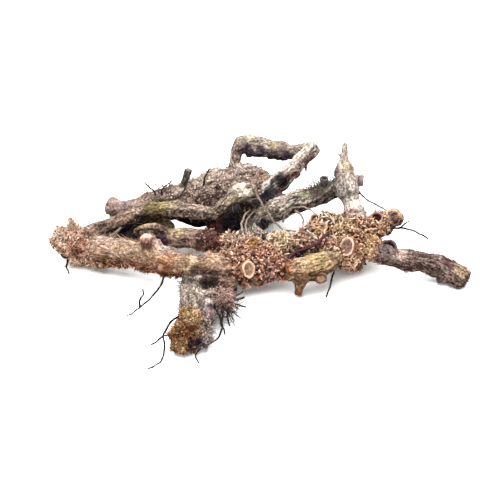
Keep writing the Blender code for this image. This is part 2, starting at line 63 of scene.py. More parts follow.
# The rings that round off a stem's end: how far out and how narrow, as shares of its radius.
DOME = ((0.35, 0.93), (0.62, 0.72), (0.78, 0.4))

# How finely the bark, the scars and the rootlets are made.
STEM_SIDES = 36
SCAR_SIDES = 48
ROOT_SIDES = 6
STUB_RINGS = 8
RING_STEP = 0.8
VOXEL = 0.46
POINTS_AT_ONCE = 2000

# How many points along it each kind of thread has.
FIBRE_POINTS = 4
HAIR_POINTS = 7
TUFT_POINTS = 9

# The lowest and the highest that flakes, fibres and rootlets reach, and where they thin out near the floor.
HEIGHTS = (0.1, 40.6)
OFF_FLOOR = (0.3, 1.2)

# A stub whose cup is deeper than SHALLOW_CUP gets a scar piece, and its bark stops CUP_FLOOR under the cup.
# A cup that is less deep than DEEP_CUP is made at CUP_SHARE of its depth.
SHALLOW_CUP = 0.35
CUP_FLOOR = 1.1
DEEP_CUP = 1.1
CUP_SHARE = 0.55

# The share of a stub's length over which its girth changes, and how narrow its end is.
STUB_FLARE = 0.8
STUB_END = 0.86

# The rolled rim of a scar in millimetres, its most as a share of the scar's radius, and the share of the
# radius that the face and the rim have together.
RIM_WIDTH = 0.5
MOST_RIM = 0.22
FACE_AND_RIM = 0.7

# How far a rootlet waves in millimetres, how long its waves are, and its tip's share of its start's girth.
ROOT_WAVE = 0.55
WAVE_LENGTH = 4.0
ROOT_TIP = 0.6

# The tables' colours are as strong light shows them. The surfaces themselves reflect this share of them.
PAINT_SHARE = 0.46

# Stems: points of x, y, z and girth along the centre line of each.
STEMS = {
    "front": [(-87.9, 17.8, 12, 0.97), (-84.4, 16.9, 10.5, 1.65), (-79, 14.7, 9.4, 1.75),
              (-72.3, 10.1, 9.4, 1.45), (-60.2, 6.2, 10, 1.34), (-46.2, -2, 12, 1.3),
              (-37.3, -9.6, 13, 1.21), (-29.2, -12.7, 14, 1.06), (-20.5, -13.6, 14, 1.11),
              (-12.2, -10.5, 13, 1.48), (-4.3, -7.8, 12, 1.82), (3.7, -6.8, 11, 1.59),
              (9.1, -9.4, 10.5, 1.02)],
    "front_right": [(13.6, -13, 12, 1.11), (17.4, -11.8, 11.8, 1.18), (20.8, -10.5, 12.1, 1.16),
                    (24.7, -8, 12.4, 1.09), (28.2, -5, 12.4, 1), (30, -3, 12.3, 0.89)],
    "upper_right": [(-12.4, 5.6, 13, 1.14), (-5.1, 1.6, 14.4, 1.23), (3, 2.5, 14.4, 1.17),
                    (12, 5.6, 14.2, 1.16), (19.8, 8.5, 14.6, 1.29), (28, 16, 15.6, 1.5),
                    (36.4, 18.3, 15.4, 1.7)],
    "right_clump": [(31, 2, 13, 1.2), (37, 7, 12, 2), (44, 13, 14, 1.9), (50, 19, 16, 1.3),
                    (55, 23, 17, 1.05), (59, 25, 18, 1)],
    "right_arm": [(43.1, 7.4, 13, 0.96), (47.6, 4.7, 12.5, 0.95), (53, 2.9, 11.5, 0.91),
                  (59.4, 1.7, 10.2, 0.97), (64.5, 1, 9.4, 1.01), (70, 0.7, 8.6, 0.97),
                  (75.2, 0.1, 7.2, 1.04), (79.8, -1.3, 5.8, 1.06), (83.7, -4.3, 4.8, 1.04),
                  (86.7, -6.6, 3.9, 0.98)],
    "bowed": [(-80, 20.2, 10, 0.98), (-71.5, 23.5, 12, 0.88), (-62.3, 25.9, 15, 0.83),
              (-54, 28.9, 18, 0.85), (-45.4, 28, 20, 0.81), (-36.1, 27.8, 20, 0.79),
              (-27.7, 28.3, 19, 0.75), (-22, 29, 17.6, 0.69), (-18.5, 29.8, 19, 0.65),
              (-15.4, 31.1, 21.5, 0.67), (-12.3, 33.3, 24, 0.79), (-9.1, 34, 25.5, 0.95),
              (-5.1, 34, 25.8, 0.97)],
    "bowed_foot": [(-21, 31, 18, 0.7), (-21, 30, 12, 0.75), (-20, 29, 7, 0.8)],
    "knob_leg": [(-6.5, 35, 24, 0.9), (-6, 37, 18, 0.8), (-5, 38, 12, 0.85)],
    "inner": [(-76, 18, 9, 0.9), (-66, 23, 8.5, 0.8), (-57, 26, 8, 0.85), (-48, 27, 8.5, 0.95),
              (-40, 24, 8.6, 0.95), (-32, 22, 9, 0.95), (-25, 19, 9.4, 1.05), (-17, 14, 10, 1.2),
              (-9, 6, 12, 1.4), (-4, -2, 13, 1.5)],
    "torn_flap": [(-55, 22, 11.5, 0.3), (-53.9, 20.8, 14.2, 0.26), (-50.8, 20.8, 15.4, 0.31),
                  (-47.3, 21.1, 15.4, 0.33), (-44.4, 22.5, 14, 0.31), (-42.2, 22.6, 12, 0.32)],
    "back": [(-70.7, 64.4, 3.5, 0.98), (-61.6, 59.5, 5.6, 0.88), (-52.4, 57.9, 9.4, 0.98),
             (-42.2, 60, 11, 1.08), (-32.4, 62.2, 12, 1.36), (-20.3, 66.2, 13, 1.73),
             (-9.2, 69.1, 14, 2.03), (-0.4, 69.9, 13.6, 1.69), (5.7, 69.5, 13, 1.27)],
    "back_fill": [(-26, 58, 10, 1), (-16, 55, 11, 1.4), (-7, 57, 11, 1.5), (1, 62, 12, 1.4)],
    "loop": [(-12.7, 70, 18.5, 0.67), (-11.8, 72, 23.8, 0.63), (-10.6, 74, 28.6, 0.65),
             (-8, 75, 31.3, 0.99), (-4.2, 75, 30.8, 1.09), (0.5, 74.5, 30, 1.03), (5.2, 74, 29.5, 1.01),
             (10.4, 73, 29.1, 0.96), (15.5, 72, 29, 0.79), (20.2, 71, 29.9, 0.79), (25.3, 70, 30.8, 0.9)],
    "loop_leg": [(24, 70, 31, 0.85), (18.5, 63.5, 27.5, 0.75), (13, 60, 23, 0.85), (7, 60, 17, 1),
                 (1, 61, 11, 1.1), (-4, 62, 4.6, 1.3)],
    "right_back": [(38.6, 56.8, 39, 0.26), (38.3, 53.9, 36.8, 0.38), (38, 51.3, 34, 0.46),
                   (38, 48, 32, 0.8), (38.4, 45.6, 28.6, 1.08), (39.1, 42.9, 24.4, 1.14),
                   (40.5, 41, 19.8, 1), (42.1, 36.5, 16, 1.06), (43.2, 26.1, 14.2, 1.18)],
    "right_inner": [(38, 46, 24, 0.85), (30, 47, 20, 0.95), (24, 45, 18.3, 1), (15, 44, 16.3, 1.05),
                    (6, 41, 13, 1), (0, 37, 10.8, 0.95), (-3, 31, 8.6, 0.85), (0, 25, 6, 0.8)],
    "inner_link": [(12, 46, 14, 0.9), (7, 53, 13, 1), (3, 62, 11, 1)],
    "under_knob": [(-21, 31, 12, 0.75), (-16, 38, 9.6, 1.2), (-9, 43, 9.6, 1.35), (-3, 47, 10, 1.3),
                   (3, 55, 10, 1.1)],
    "under_front": [(-24.2, -13.9, 13, 0.74), (-26.1, -18.9, 10.6, 0.96), (-27.9, -26.3, 9.6, 1.18),
                    (-27.6, -34.2, 8.6, 1.11), (-27.7, -41.5, 7.4, 1.06), (-28.7, -48.2, 6.4, 1.15),
                    (-30.3, -55, 5.8, 1.36), (-31.7, -58.5, 4.6, 0.94)],
    "root_crown": [(-25.7, -30.9, 9, 0.72), (-21.7, -30.5, 9, 0.86), (-17.2, -30.5, 9, 0.9),
                   (-13.6, -30.6, 8.6, 0.77)],
    "back_stick": [(-36.1, 61, 13, 0.5), (-35.5, 60.5, 18, 0.34), (-34.3, 60, 22.2, 0.34),
                   (-33.2, 60, 25.4, 0.38)],
    "under_bowed": [(-46, 30, 17.5, 0.4), (-42.5, 35, 15, 0.42), (-38, 35.7, 14.6, 0.54),
                    (-33.5, 35.2, 13.6, 0.66), (-29, 34.7, 12.6, 0.74), (-24.5, 34.9, 12, 0.7),
                    (-21.3, 33.9, 12, 0.65)],
    "between": [(-63, 27.5, 10.5, 0.6), (-59.3, 30.4, 12, 0.56), (-54, 32.4, 13, 0.64),
                (-48.6, 31.6, 13.4, 0.6), (-43.7, 31.6, 12.4, 0.6), (-40.5, 29.4, 10.5, 0.58)],
    "front_lobe": [(-22, -33.3, 9, 0.42), (-21, -39.5, 8, 0.47), (-21.1, -46.3, 6.6, 0.51),
                   (-21.9, -51.8, 5.4, 0.64), (-23.3, -56.1, 4.4, 0.58)],
    "front_collar": [(-30, -17, 10.5, 0.7), (-23.5, -20.5, 10.8, 0.95), (-17.5, -23, 10.6, 0.95),
                     (-12.5, -23, 10.8, 0.7)],
}

# The stems that end in a flat cut, and at which end.
CUT_ENDS = {"right_arm": "last", "back": "first", "loop": "last", "front_right": "first",
            "back_stick": "last"}

# How lumpy the stems are under their mats, in place of LUMP_DEPTH.
MATTED = {"upper_right": 0.34, "right_clump": 0.3, "back": 0.34, "back_fill": 0.36, "under_front": 0.24,
          "root_crown": 0.34}

# Leaf scars and stubs: base, tip, radius at the base and tip, and depth of the cup in the tip.
SCARS = {
    "front_top": [(-47.5, -0.9, 13), (-47.7, -0.9, 22.2), 3.7, 2.9, 0.3],
    "centre_scar": [(-9.4, -12.7, 12.9), (-5.1, -17.5, 15.3), 4.1, 3.5, 0.9],
    "right_scar": [(40.4, 3.4, 14.7), (36.1, -2, 17.7), 4.6, 4, 0.9],
    "right_low": [(24.5, -8.5, 10.4), (24.7, -14.8, 9.2), 3.2, 2.5, 0.9],
    "right_foot": [(16.5, -11.5, 10), (15.5, -14.4, 1.1), 4.5, 1.7, 0.3],
    "broken_face": [(15.2, -11.8, 12.2), (10.8, -13.6, 12), 5, 3.9, 0.3],
    "upper_tube": [(25.6, 19, 16), (23.1, 13.6, 22.9), 3.2, 2.6, 2.2],
    "far_right_cup": [(55, 24.7, 17.6), (58.4, 20.2, 19.8), 3.5, 3.1, 1.3],
    "arm_scar": [(54.6, 4.6, 11.5), (54.1, 0.9, 15.8), 4.3, 3.6, 1.3],
    "arm_nub": [(76, -1.5, 7), (76.2, -4.6, 1.4), 2.4, 1.3, 0.2],
    "loop_scar": [(14.5, 62, 25), (16.2, 57.6, 23.6), 3.2, 2.7, 0.9],
    "loop_nub": [(21, 67, 29), (21.6, 66, 21.4), 2.4, 0.8, 0.1],
    "tip_left": [(38, 46.5, 29.5), (34.3, 45, 30.1), 2.7, 2.2, 0.7],
    "tip_right": [(41, 45.5, 27), (46.4, 45, 26.4), 2.9, 2.5, 0.7],
    "tip_prong": [(38, 52, 34.5), (34.9, 52, 37.1), 1.3, 0.6, 0.1],
    "inner_curl": [(29, 47, 20), (28.8, 46, 27.4), 2.4, 1.8, 0.8],
    "front_nub": [(-67, 8, 9), (-69, 1.6, 5.6), 2.6, 1.1, 0.2],
    "front_bump": [(-22, -13, 14), (-21.5, -12.5, 20.6), 2.6, 1.5, 0.3],
    "left_tip": [(-80, 16, 12), (-83.2, 18, 21.4), 4.4, 1, 0.1],
    "loop_under_1": [(-5.4, 74, 30), (-5.2, 72.5, 25.7), 2.6, 1.5, 0.2],
    "loop_under_2": [(4.7, 73, 29), (4.7, 71.5, 25.2), 2.4, 1.4, 0.2],
    "loop_under_3": [(11.3, 72, 29), (11.3, 70.5, 24.8), 2.6, 1.6, 0.2],
    "upper_hole": [(30.5, 13, 16), (28.3, 8.9, 20.6), 2.2, 1.5, 0.9],
    "loop_top": [(-4.5, 75, 31), (-4.7, 75, 36.2), 3.9, 2.9, 0.3],
    "front_flare": [(-41, -5.2, 13), (-44.6, -1.8, 20.4), 4.4, 2.3, 0.1],
    "far_left_cup": [(51, 21.5, 16.5), (50, 16.6, 22), 3.4, 2.8, 1.3],
}

# Wiry rootlets: points along each.
ROOTLETS = {
    "left_low": [(-38.5, -10.5, 12.5), (-40.2, -14.6, 10.5), (-41.4, -17, 8), (-43.2, -18.4, 6),
                 (-45.7, -19.8, 3), (-48.5, -22.6, 1.5), (-51.8, -27.3, 1.2), (-55.2, -31.3, 1)],
    "left_low_fork": [(-50, -24.8, 1.6), (-49.9, -22.3, 3.5), (-48.8, -19.3, 4.6), (-49.5, -17.5, 6)],
    "front_left": [(-31.2, -43.4, 9), (-34.2, -46.1, 9), (-36.4, -48.6, 8), (-37.5, -50.6, 6.5),
                   (-38.5, -52, 4.6), (-38.1, -56.7, 3), (-38.3, -62.3, 2), (-40.2, -66.7, 1.2),
                   (-43.8, -69.8, 1)],
    "front_fork": [(-38.1, -51.9, 5), (-40.7, -51.8, 2.6), (-43.4, -53.9, 1.2)],
    "front_right": [(-19.2, -34.8, 8), (-15.8, -43.8, 6), (-16.3, -49.1, 4.2), (-18, -52.7, 3.2),
                    (-21.8, -55.8, 2.6), (-24.8, -58.4, 2), (-25.7, -61.7, 1.6), (-24.2, -65.7, 1)],
    "crown_1": [(-14.4, -30.1, 9), (-10.8, -29.5, 9.6), (-7.1, -25.9, 9.6)],
    "crown_2": [(-14.4, -30.8, 8), (-10.4, -29.3, 7.6), (-6.7, -26.5, 7.4)],
    "crown_3": [(-14.4, -30.7, 7), (-10, -29.5, 5.6), (-5.9, -29.9, 4.4)],
    "crown_4": [(-16.4, -32.3, 7.5), (-15.8, -35.7, 4.8), (-15.9, -39.6, 2), (-14.8, -44.9, 1.1)],
    "crown_5": [(-14.4, -32.3, 7), (-13.6, -35.8, 4.4), (-12.9, -39.3, 1.4)],
    "left_end": [(-83.2, 8.6, 6.5), (-85.8, 9, 7), (-88.5, 12.9, 7.4), (-90.5, 15.4, 7.8),
                 (-92.3, 17.1, 8.4)],
    "left_end_low": [(-84.2, 12.3, 5), (-84.4, 9, 2.8), (-83, 4.5, 1.1)],
    "far_right": [(51, 14.9, 14), (54.6, 16.5, 15.6), (57.2, 17.4, 16.6), (60.6, 17, 17), (64, 16.1, 16.8),
                  (67.5, 15.2, 16), (70, 13.9, 15), (72.4, 12, 14)],
    "far_right_fork": [(59.7, 16.2, 17), (62.4, 17.6, 18), (65, 18.7, 19.4)],
    "right_low": [(31.8, -2.3, 9), (30.7, -4.6, 6.4), (29.8, -7.1, 4.4), (28.6, -10.4, 2.4),
                  (27.1, -15.7, 1.1)],
    "crossing": [(-4.7, 34, 30), (-3.2, 33, 28.5), (-1.8, 30, 27), (-0.3, 26, 25.5), (1.6, 21, 24.3),
                 (4, 16, 22.7), (6.5, 11.4, 21.2), (9.8, 7.9, 20.6), (14.1, 6.9, 20.4), (17.5, 5.7, 20.6),
                 (20.3, 3, 20.8), (23.1, 0.4, 19)],
    "arch": [(10, 30, 13.2), (11.1, 29, 17.9), (13.6, 27, 21.4), (17.2, 24.5, 23.4), (20.6, 21.5, 24.2),
             (23.9, 18, 23.1), (27.7, 14.5, 21), (31.5, 12, 19.4)],
    "stick_root": [(-46.2, 34, 21.9), (-42, 38, 20), (-38.4, 44, 17.9), (-36, 52, 16.6), (-34.9, 57, 17.8),
                   (-34, 59.5, 21.2)],
    "middle_1": [(-7.9, 6, 20.5), (-8.2, 14, 20.8), (-6.7, 24, 20.2), (-4.3, 36, 16.7)],
    "middle_2": [(15.6, 33, 17.4), (17.9, 27, 17.7), (18.8, 21, 17.2), (17.7, 12, 18.4)],
    "middle_3": [(-6.2, 7, 19.5), (-6.4, 16, 19.3), (-5.1, 26, 18.2), (-2.4, 37, 15.5)],
    "right_back_1": [(43.3, 43.8, 23), (46.1, 38.5, 22), (48, 35.1, 21.4), (51, 33.2, 20.6),
                     (54.3, 29.8, 20), (57.2, 27.1, 18.6)],
    "left_back_1": [(-48, 59, 11), (-50, 54, 18), (-53, 52, 22.6)],
    "left_back_2": [(-46, 59, 12), (-45, 53, 19), (-41, 55, 21.6)],
    "left_back_3": [(-27, 61, 15), (-25, 53, 25), (-23, 51, 30)],
    "cross_root": [(8.5, -8.5, 12), (12.5, -5.5, 15.1), (15.9, -3.5, 16.4), (19.3, -2.5, 17.3),
                   (22.7, -1.5, 18.4), (25.3, 0.5, 19.6), (27.5, 3, 20.6), (28.9, 5, 20.2)],
    "between_stick": [(-67, 12.4, 12), (-64.7, 14, 14), (-63.1, 16, 14.9), (-61.1, 19, 15.8)],
}

# The bark is made in four pieces, each of these stems and the stubs that grow from them.
PIECES = {
    "rhizome_front": ["front", "under_front", "front_lobe", "front_collar", "root_crown"],
    "rhizome_right": ["front_right", "upper_right", "right_clump", "right_arm"],
    "rhizome_middle": ["bowed", "bowed_foot", "knob_leg", "inner", "torn_flap", "right_inner", "inner_link",
                       "under_knob", "under_bowed", "between"],
    "rhizome_back": ["back", "back_fill", "loop", "loop_leg", "right_back", "back_stick"],
}
STUB_PIECES = {
    "rhizome_front": ["front_top", "front_flare", "centre_scar", "front_nub", "front_bump", "left_tip"],
    "rhizome_right": ["right_scar", "right_low", "right_foot", "broken_face", "upper_tube", "upper_hole",
                      "far_right_cup", "far_left_cup", "arm_scar", "arm_nub"],
    "rhizome_middle": ["inner_curl"],
    "rhizome_back": ["loop_scar", "loop_nub", "tip_left", "tip_right", "tip_prong", "loop_under_1",
                     "loop_under_2", "loop_under_3", "loop_top"],
}

# The bark of each stem: the sRGB colour of its painted highlight on top and of its pale specks, of its middle
# tone, and of its painted shade in pits and underneath, and the depth of its lengthwise grooves in
# millimetres.
BARK = {
    "front": [(240, 206, 180), (182, 142, 114), (98, 62, 44), 0.42],
    "front_right": [(222, 194, 158), (156, 126, 92), (78, 50, 34), 0.75],
    "upper_right": [(244, 214, 184), (190, 150, 124), (88, 52, 44), 0.3],
    "right_clump": [(228, 190, 160), (158, 114, 90), (78, 42, 30), 0.3],
    "right_arm": [(190, 164, 152), (124, 96, 86), (58, 36, 32), 0.6],
    "bowed": [(196, 172, 152), (98, 80, 68), (20, 16, 22), 0.45],
    # The foot and the leg under the knob are dark as painted shade there.
    "bowed_foot": [(88, 70, 64), (48, 36, 42), (16, 12, 24), 0.3],
    "knob_leg": [(176, 150, 128), (74, 58, 56), (20, 14, 26), 0.3],
    "inner": [(194, 164, 146), (134, 104, 92), (54, 34, 38), 0.45],
    "torn_flap": [(196, 168, 142), (120, 92, 74), (44, 30, 30), 0.3],
    "back": [(200, 174, 160), (152, 126, 114), (94, 72, 66), 0.3],
    "back_fill": [(198, 170, 154), (130, 104, 92), (54, 40, 44), 0.3],
    "loop": [(206, 188, 172), (140, 122, 112), (72, 56, 64), 0.34],
    "loop_leg": [(255, 244, 228), (208, 188, 172), (66, 50, 58), 0.45],
    "right_back": [(222, 204, 190), (170, 150, 138), (108, 90, 84), 0.36],
    "right_inner": [(234, 216, 198), (142, 126, 114), (38, 30, 36), 0.8],
    # These three are near-black and navy as painted shade in the middle, under the knob and the bowed stem.
    "inner_link": [(112, 94, 92), (54, 42, 52), (18, 14, 28), 0.4],
    "under_knob": [(58, 48, 54), (31, 26, 34), (12, 10, 18), 0.4],
    "under_bowed": [(50, 44, 50), (27, 24, 31), (12, 11, 18), 0.4],
    "between": [(146, 120, 92), (92, 70, 56), (40, 28, 32), 0.4],
    "under_front": [(196, 180, 166), (122, 104, 92), (40, 28, 24), 0.5],
    "front_lobe": [(230, 212, 210), (178, 154, 154), (94, 70, 74), 0.3],
    # The collar is near-black as painted shade in the gap under the front bar.
    "front_collar": [(176, 152, 134), (84, 62, 52), (24, 16, 16), 0.6],
    "root_crown": [(200, 172, 156), (132, 104, 92), (50, 32, 30), 0.4],
    "back_stick": [(158, 148, 134), (106, 96, 86), (60, 52, 50), 0.3],
}

# The stems that are near-black as painted shade where they face the front, where they face when they are
# plain brown, and its colours.
SHADE_PAINTED_STEMS = ("under_knob", "under_bowed", "inner_link", "bowed_foot")
BEHIND = np.array([0.0, 0.88, -0.47])
BEHIND_BARK = [(156, 132, 114), (104, 82, 70), (40, 30, 30)]

# The stubs and scars: the sRGB colour of the side, of the rim and of the face in its middle.
STUB_LOOKS = {
    "front_top": [(150, 108, 94), (214, 176, 152), (244, 216, 194)],
    "centre_scar": [(168, 112, 86), (240, 202, 174), (176, 138, 110)],
    "right_scar": [(150, 98, 76), (236, 202, 178), (160, 122, 106)],
    "right_low": [(178, 134, 100), (90, 58, 42), (196, 160, 126)],
    "right_foot": [(136, 84, 56), (92, 74, 68), (120, 110, 104)],
    "broken_face": [(158, 104, 84), (164, 108, 76), (134, 76, 52)],
    # The dark faces of the tube and of the hole are painted shade deep in them.
    "upper_tube": [(206, 156, 124), (224, 178, 146), (64, 28, 24)],
    "upper_hole": [(190, 136, 108), (196, 142, 112), (52, 22, 20)],
    "far_right_cup": [(104, 70, 62), (150, 116, 110), (110, 62, 62)],
    "arm_scar": [(108, 90, 88), (124, 104, 102), (26, 18, 20)],
    "arm_nub": [(84, 62, 54), (64, 48, 46), (52, 38, 38)],
    "front_nub": [(186, 146, 112), (200, 160, 126), (150, 110, 80)],
    "front_bump": [(206, 160, 128), (226, 184, 150), (190, 140, 110)],
    "front_flare": [(214, 178, 160), (230, 200, 180), (220, 190, 170)],
    "far_left_cup": [(132, 88, 76), (184, 146, 134), (70, 32, 32)],
    "left_tip": [(230, 194, 164), (236, 204, 170), (206, 160, 110)],
    "inner_curl": [(110, 104, 92), (132, 122, 110), (60, 48, 48)],
    "loop_scar": [(150, 116, 106), (158, 122, 112), (92, 54, 52)],
    "loop_nub": [(142, 108, 100), (124, 92, 88), (104, 76, 76)],
    "tip_left": [(96, 74, 74), (112, 88, 88), (70, 50, 54)],
    "tip_right": [(150, 122, 124), (160, 132, 134), (110, 84, 90)],
    "tip_prong": [(196, 190, 186), (206, 200, 196), (180, 172, 168)],
    # The stubs under the loop are dark purple as painted shade under it.
    "loop_under_1": [(84, 64, 74), (78, 58, 68), (60, 44, 54)],
    "loop_under_2": [(84, 62, 70), (78, 58, 64), (60, 44, 50)],
    "loop_under_3": [(72, 56, 62), (66, 50, 58), (52, 40, 48)],
    "loop_top": [(222, 206, 182), (236, 222, 200), (214, 194, 168)],
}

# How ragged the rims are of the stubs that broke off, in millimetres.
RAGGED = {"front_top": 0.12, "right_low": 0.35, "upper_tube": 0.45, "centre_scar": 0.4,
          "right_scar": 0.45, "arm_scar": 0.55}

# The stubs that swell a little past the solid's girth, and by how much.
SPREAD = {"front_top": 1.2}

# How wide the scars are that are taller than wide, as a share of their height.
OVALS = {"centre_scar": 0.86, "right_scar": 0.78, "upper_tube": 0.8}

# Mats of scales: stem, stretch from and to as shares of its length, side, flakes, fibres, flake length in
# millimetres, flake width as a share of it, and the light, middle and dark sRGB colours of its flakes.
MATS = {
    "left_end": ["front", 0.0, 0.17, "round", 1300, 900, 1.5, 0.4,
                 (255, 230, 206), (234, 182, 152), (136, 82, 58)],
    "front_flank": ["front", 0.2, 0.62, "below", 500, 900, 1.3, 0.4,
                    (240, 190, 150), (190, 124, 88), (92, 48, 32)],
    "centre": ["front", 0.75, 1.0, "round", 2000, 420, 1.4, 0.6,
               (255, 216, 190), (200, 138, 110), (66, 30, 24)],
    "ridge": ["upper_right", 0.0, 1.0, "round", 2100, 300, 2.5, 0.34,
              (255, 234, 208), (228, 182, 152), (78, 40, 32)],
    "clump": ["right_clump", 0.0, 0.84, "round", 2500, 420, 1.7, 0.5,
              (250, 214, 184), (192, 138, 106), (74, 36, 26)],
    "arm_root": ["right_arm", 0.0, 0.16, "round", 500, 260, 1.5, 0.45,
                 (248, 210, 170), (206, 150, 108), (110, 62, 40)],
    "back_mass": ["back", 0.36, 1.0, "round", 2600, 300, 1.1, 0.6,
                  (255, 234, 218), (224, 194, 176), (140, 110, 96)],
    "back_fill": ["back_fill", 0.0, 1.0, "round", 600, 120, 1.2, 0.6,
                  (206, 178, 162), (146, 118, 104), (66, 48, 46)],
    "front_end": ["under_front", 0.6, 1.0, "round", 700, 1000, 1.3, 0.4,
                  (240, 204, 158), (174, 124, 80), (58, 30, 20)],
    "front_lobe": ["front_lobe", 0.3, 1.0, "round", 200, 400, 1.2, 0.5,
                   (226, 212, 202), (170, 150, 142), (84, 66, 64)],
    "crown": ["root_crown", 0.25, 1.0, "round", 420, 500, 1.3, 0.4,
              (244, 212, 198), (176, 134, 120), (60, 34, 34)],
    "inner_end": ["inner", 0.62, 0.95, "round", 420, 160, 1.4, 0.5,
                  (216, 172, 152), (154, 102, 88), (66, 36, 32)],
}

# How far the ends of a mat wander and fade, as a share of its stem's length.
MAT_EDGE = 0.02

# The stubs that stand in a mat and are covered by it.
MAT_STUBS = {"left_end": ["left_tip"], "centre": ["centre_scar"],
             "clump": ["right_scar", "upper_tube", "upper_hole", "far_left_cup"]}

# Where the mats leave the bark bare: middle and reach.
BARE = [((12.0, -14.5, 13.0), 5.0), ((13.5, -15.0, 10.0), 4.0)]

# The share of their crevices' painted shade that the mats get that are less broken than the rest.
LESS_SHADED_MATS = {"back_mass": 0.5, "left_end": 0.6, "ridge": 0.7}

# Fine fibres that lie along the bark of some stems: how many, their length in millimetres, and their stray.
FELT = {
    "front": [1500, 3.0, 0.6],
    "front_right": [160, 3.0, 0.2],
    "right_arm": [400, 3.4, 0.4],
    "bowed": [520, 3.0, 0.4],
    "inner": [300, 2.8, 0.5],
    "under_front": [700, 3.2, 1.5],
    "front_collar": [300, 3.0, 1.5],
    "right_inner": [420, 3.4, 0.9],
    "loop": [220, 2.6, 0.7],
    "loop_leg": [160, 2.6, 0.7],
    "right_back": [260, 2.6, 0.9],
    "back": [200, 2.6, 0.9],
}
